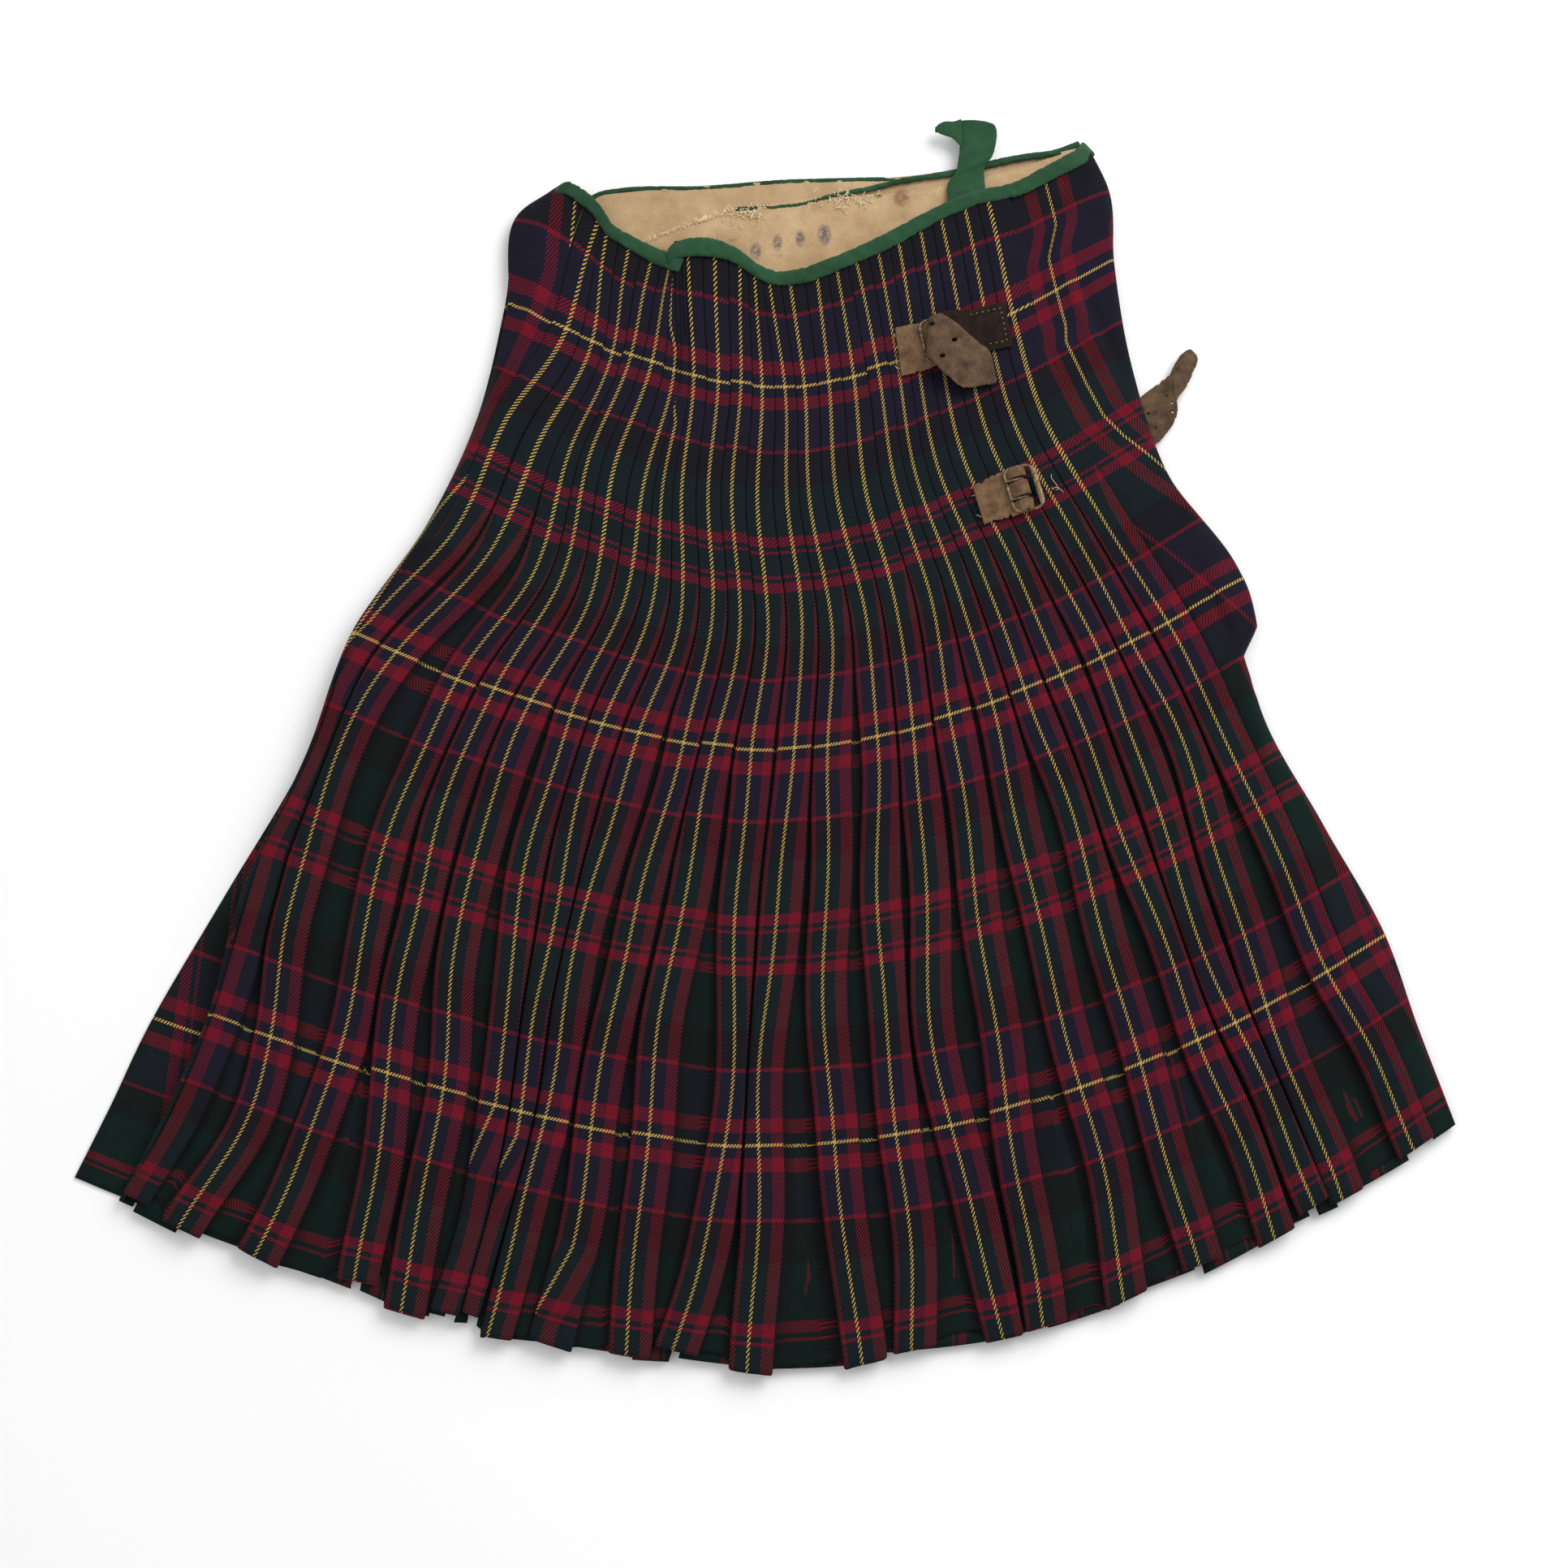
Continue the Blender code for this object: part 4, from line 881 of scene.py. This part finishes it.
def tubes(name, paths, radii, material, sides=6):
    """Many fine threads as one piece: a ring of points square to each path at each of its points.

    Every path has as many points as the others. A ring is the path's point plus the path's radius
    turned through equal angles in the plane across it. The end rings are small, and each is closed
    by a fan of four-cornered faces, so the number of sides is even.
    """
    paths = np.asarray(paths, float)
    along = np.gradient(paths, axis=1)
    along /= np.linalg.norm(along, axis=2)[:, :, None]
    side = np.cross(along, (0.0, 0.0, 1.0))
    side /= np.maximum(np.linalg.norm(side, axis=2), 1e-6)[:, :, None]
    up = np.cross(side, along)
    angles = 2 * math.pi * np.arange(sides) / sides
    taper = np.ones(paths.shape[1])
    taper[[0, -1]] = 0.3
    reach = np.broadcast_to(radii, len(paths))[:, None, None, None] * taper[None, :, None, None]
    rings = paths[:, :, None] + reach * (
        side[:, :, None] * np.cos(angles)[:, None] + up[:, :, None] * np.sin(angles)[:, None]
    )
    count, length = paths.shape[:2]
    body = grid_quads(length, sides, wrap=True).reshape(-1, 4)
    fan = np.array([(0, k, k + 1, k + 2) for k in range(1, sides - 1, 2)])
    body = np.concatenate([body, fan[:, ::-1], fan + (length - 1) * sides])
    quads = (body[None] + (np.arange(count) * length * sides)[:, None, None]).reshape(-1, 4)
    points = rings.reshape(-1, 3)
    corner = points[quads]
    halves = np.cross(corner[:, 1], corner[:, 2]) + np.cross(corner[:, 2], corner[:, 3])
    if np.einsum("ij,ij->", corner[:, 0], halves) < 0:
        quads = quads[:, ::-1]
    return put_mesh(name, points, quads, material)


def finish_piece(obj, cad=()):
    """Makes a piece ride on the kilt and stand for its CAD nodes."""
    if cad:
        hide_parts(*cad)
    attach(obj, "kilt")


# The waist's green bindings. Each is folded tape, puckered where it is stitched down.
BACK_EDGE_LEFT = (
    (-131, 310, -124, 318.5, 6.6), (-125, 313.5, -118, 322, 11.2), (-118, 313, -113, 320, 13.4),
    (-110, 307, -104, 313.2, 13.9),
    (-102, 299.5, -96, 303.5, 14.1), (-95, 288, -90, 293.5, 14.2), (-85, 280.5, -80, 287.2, 14.2),
    (-72, 272, -69, 281, 14.2), (-62, 266.5, -59, 276.5, 14.3), (-52, 263, -49, 272, 14.2),
)
BACK_EDGE_RIGHT = (
    (-57.5, 267, -58.5, 277, 14.9), (-54.5, 270.5, -54.5, 281.5, 15.5), (-46, 272.5, -46, 284.5, 15.2),
    (-36, 272.7, -35, 285, 14.9),
    (-28, 271.5, -26, 282.5, 14.7), (-19, 268.5, -16, 277, 14.6), (-9, 261, -6, 268.5, 14.5),
    (3, 255, 5, 264, 14.4), (16, 255.5, 15, 265, 14.5), (27, 258, 24, 267.5, 14.6),
    (47, 267, 44, 276, 14.5),
    (69, 277.5, 65, 286.5, 14.4), (83, 285.5, 79, 294.5, 14.4), (99, 295.5, 94, 303, 14.3),
    (121, 306, 118, 314.5, 14.1),
    (145, 311.5, 142, 320.5, 13.9), (164, 321.5, 160, 330.5, 13.6), (177, 329, 172, 338, 12.6),
    (187, 336, 181, 345, 9.6), (191.5, 342.5, 184, 351, 5.2),
)
OVER_EDGE = (
    (-104, 313.5, -104, 318.5, 1.5), (-95, 318.2, -96, 321.8, 1.5), (-75, 320.6, -75.5, 324.2, 1.5),
    (-43, 321, -43.4, 324.4, 1.5),
    (-22, 322.4, -22.4, 325.9, 1.5), (7, 325, 7, 328.5, 1.5), (40, 326.2, 40, 329.6, 1.5),
    (66, 326.6, 65, 330.2, 1.5),
    (76, 326.2, 75, 329.6, 1.5), (112, 332, 111, 335.6, 1.5), (136, 338.6, 135, 342.2, 1.5),
    (153, 342, 152, 345.6, 1.5),
    (168.5, 344.4, 167.6, 348, 1.5), (184, 350, 182, 353.6, 1.5),
)
UNDER_EDGE = (
    (-19, 306, -19.4, 309.5, 4.4), (4, 307.5, 4, 310.8, 4.4), (21, 309.6, 20.6, 313, 4.4),
    (36, 314, 35.6, 317.8, 4.4),
    (48, 317, 47.6, 320.6, 4.4), (63, 320.2, 62.6, 324, 4.4), (77, 324, 76.6, 327.8, 4.4),
    (112, 330, 111, 333.6, 4.4),
    (140, 337, 139, 340.6, 4.4), (172, 343, 171, 346.6, 4.4),
)
left_edge, size_left = strip("back_binding_left", BACK_EDGE_LEFT, 2.2, TAPE, (0.5, 0.4), 0.4, 0.35)
right_edge, size_right = strip("back_binding_right", BACK_EDGE_RIGHT, 2.2, TAPE, (0.5, 0.4), 0.4, 0.35)
finish_piece(left_edge, ("back_waist_binding",))
finish_piece(right_edge, ())
over_edge, size = strip("over_apron_tape", OVER_EDGE, 2.2, TAPE, (0.4, 0.2), 0.2, 0.1, across=10)
finish_piece(over_edge, ("over_apron_binding",))
under_edge, size = strip("under_apron_tape", UNDER_EDGE, 2.0, TAPE, (0.9, 0.5), 0.25, 0.1, across=10)
finish_piece(under_edge, ("under_apron_binding",))

LOOP_BASE = (
    (103, 305, 127, 311, 9.5), (104.2, 312, 126.7, 319, 8.6), (104.6, 322.9, 126.5, 332.9, 7.6),
    (109.3, 329.5, 131.4, 340.8, 8.6), (111, 338, 133.6, 350, 8.6), (112, 346.6, 134.1, 356.6, 8.0),
    (112.6, 357, 132.6, 361.3, 7.6), (112.7, 364, 129, 363.3, 6.8),
)
LOOP_END = (
    (113.2, 345, 113.2, 364, 9.6), (108.4, 350.5, 108.6, 362.3, 9.8), (102, 353.6, 102.2, 362.2, 9.6),
    (97.6, 355.4, 97.8, 358.6, 9.3),
)
loop, size = strip("hanger_loop_tape", LOOP_BASE, 1.6, TAPE, (0.2, 0.2), 0.3, 0.3)
finish_piece(loop, ("hanger_loop",))
loop_end, size = strip("hanger_loop_end", LOOP_END, 1.5, TAPE, (0.3, 0.3), 0.2, 0.2)
finish_piece(loop_end, ())

SIDE_STRAP = (
    (214, 152, 205, 183, 3.2), (219, 159, 211, 188, 3.2), (224.6, 163.5, 218, 193.8, 3.2),
    (232.3, 174, 225, 199.3, 3.6),
    (234.6, 181, 230.6, 203.6, 4.6), (234.4, 187.5, 232.8, 208, 5.4), (240.1, 195.6, 236, 213.5, 6.0),
    (244, 203.5, 238.5, 216.5, 6.0), (247.3, 212.3, 241, 218.6, 5.2), (245.6, 216.2, 242.6, 219.1, 4.6),
)
UPPER_STRAP = (
    (140, 216.2, 136, 244, 15.6), (128.4, 213.6, 124, 241.2, 15.8), (118, 211.5, 114, 238.7, 16.4),
    (112, 210.3, 108.4, 237, 20.2),
    (106, 209, 102.5, 236, 21.2), (100, 207.5, 97.5, 235, 21.8),
)
STRAP_TAIL = (
    (97, 207.0, 98.5, 233.0, 21.4), (93.6, 206.2, 95.0, 232, 21.5), (91.0, 205.6, 92.2, 231.2, 22.8),
    (92.2, 204, 93.8, 231.8, 24.3),
    (95, 201.2, 98, 232.8, 24.6), (99.5, 196.4, 105.5, 228.8, 24.2), (105, 191.8, 113, 222.5, 22.8),
    (111, 188.6, 120, 217, 20.4), (119, 190, 126.6, 211.6, 19.0), (125, 191.1, 129, 203, 18.2),
    (129.2, 192.1, 130.4, 194.4, 17.9),
)
UPPER_CHAPE = (
    (76, 197.6, 72.6, 228, 15.7), (82, 198.8, 78.5, 229.2, 15.8), (88, 200.3, 84.5, 230.4, 16.2),
    (92, 201.5, 88.5, 231.3, 16.5),
    (95, 202.3, 91.5, 232, 18.4), (98, 203.2, 94.5, 232.7, 20.6), (101, 204, 97.5, 233.4, 19.4),
    (102, 204.3, 98.5, 233.6, 17.4),
)
LOWER_CHAPE = (
    (121.7, 107.1, 115.3, 130.5, 15.8), (128, 109, 122, 134.5, 15.9), (134, 110.3, 127, 137.5, 16.2),
    (138.6, 111.6, 132, 139, 16.6),
    (141.6, 112.6, 135, 139.7, 18.2), (144.6, 113.6, 138, 140.5, 20.4),
    (147.2, 114.4, 140.8, 141.2, 21.0),
    (149.6, 115.2, 143.2, 141.8, 19.6), (150.2, 115.4, 143.8, 142, 17.6),
)
SIDE_HOLES = ((228.3, 190), (231.4, 186), (217.5, 179.5), (221.5, 170.5), (231.6, 180.5))
TAIL_HOLES = ((93.4, 225.8), (106.2, 216.3), (99.2, 206.2))
side, size = strip("side_strap_leather", SIDE_STRAP, 1.7, SUEDE, (0.5, 0.5), 0.1, 0.3, across=24, step=0.6)
cut_through(side, [prism(spot, 0.95, 0.8, 40, 12) for spot in SIDE_HOLES])
finish_piece(side, ("side_strap",))
patch, patch_size = strip(
    "upper_strap_sewn_end", UPPER_STRAP, 1.5, GRAIN, (0.3, 0.3), 0.08, 0.1, across=24, step=0.6
)
tail, size = strip("upper_strap_tail", STRAP_TAIL, 1.6, SUEDE, (0.4, 0.4), 0.12, 0.35, across=28, step=0.5)
cut_through(tail, [prism(spot, 1.7, 1.3, 20, 14) for spot in TAIL_HOLES])
finish_piece(patch, ("upper_strap",))
finish_piece(tail, ())
chape, size = strip("upper_chape_leather", UPPER_CHAPE, 1.5, TAN, (1.0, 0.7), 0.15, 0.1, across=24, step=0.5)
finish_piece(chape, ("upper_chape",))
chape, size = strip(
    "lower_chape_leather", LOWER_CHAPE, 1.5, TAN, (1.0, 0.9), 0.15, 0.1, across=28, step=0.45
)
# A prong's slot runs on over the fold, so that the prong can be thrown back through it.
cut_through(chape, [prism((143.31, 122.15), 6.3, 1.3, 15, 4), prism((140.41, 132.97), 6.3, 1.3, 15, 4)])
finish_piece(chape, ("lower_chape",))


def dashes_along(corners, pitch, length, height):
    """Short straight paths laid end to end along a line of corners, with gaps between them."""
    corners = np.array(corners, float)
    reach = np.concatenate([[0], np.cumsum(np.hypot(*np.diff(corners, axis=0).T))])
    starts = np.arange(0.4, reach[-1] - length, pitch)
    at = starts[:, None] + np.linspace(0, length, 4)
    x, y = (np.interp(at, reach, corners[:, k]) for k in (0, 1))
    return np.stack([x, y, np.broadcast_to(height + np.array([-0.3, 0.15, 0.15, -0.3]), x.shape)], axis=2)


# Pale stitches inside three edges of the strap's sewn end.
SEWN_EDGES = ((112, 234.6), (133.4, 239.8), (136.8, 219.6), (126, 217.2))
sewing = tubes("strap_stitches", dashes_along(SEWN_EDGES, 3.4, 1.6, 16.45), 0.2, THREAD)
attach(sewing, "kilt")


SLANTED_EDGE = ((-72, -41, -35, -19), (286, 299.4, 301, 307.5))  # x and y along the inner apron's edge
STRAP_THREADS = 8  # the first paths, from the straps' sewing


def loose_threads():
    """Curling loose ends: each path wanders from its start by a random walk of small turns."""
    random = np.random.default_rng(31)
    paths = []
    starts = [
        (160.5, 138.2, 15.4, -100, 14, 0.35), (160.3, 130.3, 15.4, -20, 8, 0.9),
        (73, 214, 15.4, 170, 4, 0.5), (73.4, 222, 15.4, 160, 3, 0.5), (75, 203, 15.4, 185, 4, 0.5),
        (118, 124, 15.4, 165, 4, 0.5), (116.4, 129, 15.4, 150, 3, 0.5), (120.6, 112, 15.4, 200, 4, 0.5),
    ]
    # Frayed ends along the inner apron's slanted edge and below its worn binding.
    for at in np.linspace(0, 1, 70):
        x, y = (np.interp(at, (0, 0.35, 0.75, 1), ends) for ends in SLANTED_EDGE)
        x, y = x + random.normal(0, 1), y + random.normal(0, 0.6)
        starts.append((x, y, 5.9, random.uniform(60, 170), random.uniform(1.2, 4.5), 0.5))
    for centre_x, centre_y, spread in ((-13, 304, 5), (44, 313.5, 8)):
        for _ in range(55):
            x, y = centre_x + random.normal(0, spread), centre_y + random.normal(0, 2.6)
            starts.append((x, y, 5.9, random.uniform(0, 360), random.uniform(1.5, 5), 0.6))
    for x, y, z, heading, length, curl in starts:
        turns = np.cumsum(random.normal(0, curl, 9)) + math.radians(heading)
        step = length / 9
        px = np.concatenate([[x], x + np.cumsum(step * np.cos(turns))])
        py = np.concatenate([[y], y + np.cumsum(step * np.sin(turns))])
        paths.append(np.stack([px, py, z + 0.5 * np.sin(np.linspace(0, math.pi, 10))], axis=1))
    return np.array(paths)


PALE_THREAD = new_material("cream_fibre", 0.9)[0]
PALE_THREAD.node_tree.nodes["Principled BSDF"].inputs["Base Color"].default_value = (*srgb(226, 206, 170), 1)
fray_paths = loose_threads()
# The threads from the chapes' sewing are finer than the cloth's frayed ends.
fray_radii = np.where(np.arange(len(fray_paths)) < STRAP_THREADS, 0.13, 0.22)
frays = tubes("loose_threads", fray_paths, fray_radii, PALE_THREAD, sides=4)
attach(frays, "kilt")


def build_inner_folds():
    """The hidden folds' hems, seen between the pleats: one tongue of cloth behind each gap.

    Each tongue is a grid whose columns run from behind one pleat to behind the next, below the
    gap's floor, and whose rows run down to its own hem.
    """
    random = np.random.default_rng(5)
    down = np.linspace(500, 617, 26)
    lines = np.sort(yellow_lines(down), axis=1)
    crown, step = section("crown", down), section("step", down)
    share = np.linspace(0, 1, 9)
    uppers, uvs = [], []
    for i in range(COUNT - 1):
        left, right = lines[:, i] + 3, lines[:, i + 1] - 2
        x = left[:, None] + (right - left)[:, None] * share
        y = fall(x, down[:, None])
        longer = random.uniform(-1.5, 4.5) + random.uniform(-3, 3) * (share - 0.5)
        y = y - longer * np.clip((down[:, None] - 545) / 72, 0, 1) ** 2
        sink = 3.2 * np.clip((down - 545) / 72, 0, 1) ** 2
        wave = 0.8 * np.sin(share * 3.1 * math.pi + random.uniform(0, 6))
        z = (crown - step - 2.2 - sink)[:, None] + wave + 0 * x
        z = np.maximum(z, 5.4)
        uppers.append(np.stack([x, y, z], axis=2))
        u = 70 + 1.4 * (x - left[:, None]) + random.uniform(-22, 22)
        uvs.append(np.stack([u, np.broadcast_to(down[:, None] - 66, u.shape)], axis=2))
    points, quads, corners = [], [], []
    for k, (upper, uv) in enumerate(zip(uppers, uvs)):
        cells = grid_quads(upper.shape[0], upper.shape[1]).reshape(-1, 4)[:, ::-1]
        points.append(upper.reshape(-1, 3))
        quads.append(cells + k * upper.shape[0] * upper.shape[1])
        corners.append(uv.reshape(-1, 2)[cells])
    points, quads, corners = (np.concatenate(item) for item in (points, quads, corners))
    obj = put_mesh("inner_folds", points, quads, TARTAN, uv=corners)
    wall = obj.modifiers.new("Wall", "SOLIDIFY")
    wall.thickness = 0.8 * MM
    wall.offset = -1
    return obj


folds = build_inner_folds()
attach(folds, "kilt")

for label, material in (
    ("upper_buckle", STEEL), ("lower_buckle", STEEL), ("upper_prong", STEEL), ("lower_prong", STEEL),
):
    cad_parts[label].data.materials.clear()
    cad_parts[label].data.materials.append(material)

# ---------------------------------------------------------------- floor, light and camera


def build_stage():
    """A pale floor that the kilt lies on, soft light from the upper right, and the camera above."""
    mesh = bpy.data.meshes.new("floor")
    size = 8.0
    corners = [(-size, -size, 0), (size, -size, 0), (size, size, 0), (-size, size, 0)]
    mesh.from_pydata(corners, [], [(0, 1, 2, 3)])
    floor = bpy.data.objects.new("floor", mesh)
    bpy.context.scene.collection.objects.link(floor)
    pale = bpy.data.materials.new("pale_floor")
    pale.use_nodes = True
    shader = pale.node_tree.nodes["Principled BSDF"]
    shader.inputs["Base Color"].default_value = (0.9, 0.9, 0.9, 1)
    shader.inputs["Roughness"].default_value = 0.9
    mesh.materials.append(pale)
    world = bpy.data.worlds.new("studio")
    world.use_nodes = True
    world.node_tree.nodes["Background"].inputs["Color"].default_value = (1, 1, 1, 1)
    world.node_tree.nodes["Background"].inputs["Strength"].default_value = 0.66
    bpy.context.scene.world = world
    for name, place, size, power in (
        ("key", (1.3, 1.1, 1.7), 1.7, 44), ("fill", (-1.4, -0.6, 2.2), 2.0, 8),
    ):
        light = bpy.data.lights.new(name, "AREA")
        light.size = size
        light.energy = power
        lamp = bpy.data.objects.new(name, light)
        lamp.location = place
        aim = np.array([0.0, 0.0, 0.0]) - np.array(place)
        lamp.rotation_euler = (math.acos(-aim[2] / np.linalg.norm(aim)), 0, math.atan2(-aim[0], aim[1]))
        bpy.context.scene.collection.objects.link(lamp)
    eye = bpy.data.cameras.new("camera")
    eye.lens = 70.39
    eye.sensor_width = 36
    camera = bpy.data.objects.new("camera", eye)
    elevation, distance = math.radians(74), 1.70
    camera.location = (0.009, -0.040 - distance * math.cos(elevation), distance * math.sin(elevation))
    camera.rotation_euler = (math.radians(90 - 74), 0, 0)
    bpy.context.scene.collection.objects.link(camera)
    bpy.context.scene.camera = camera
    bpy.context.scene.view_settings.view_transform = "Standard"


build_stage()
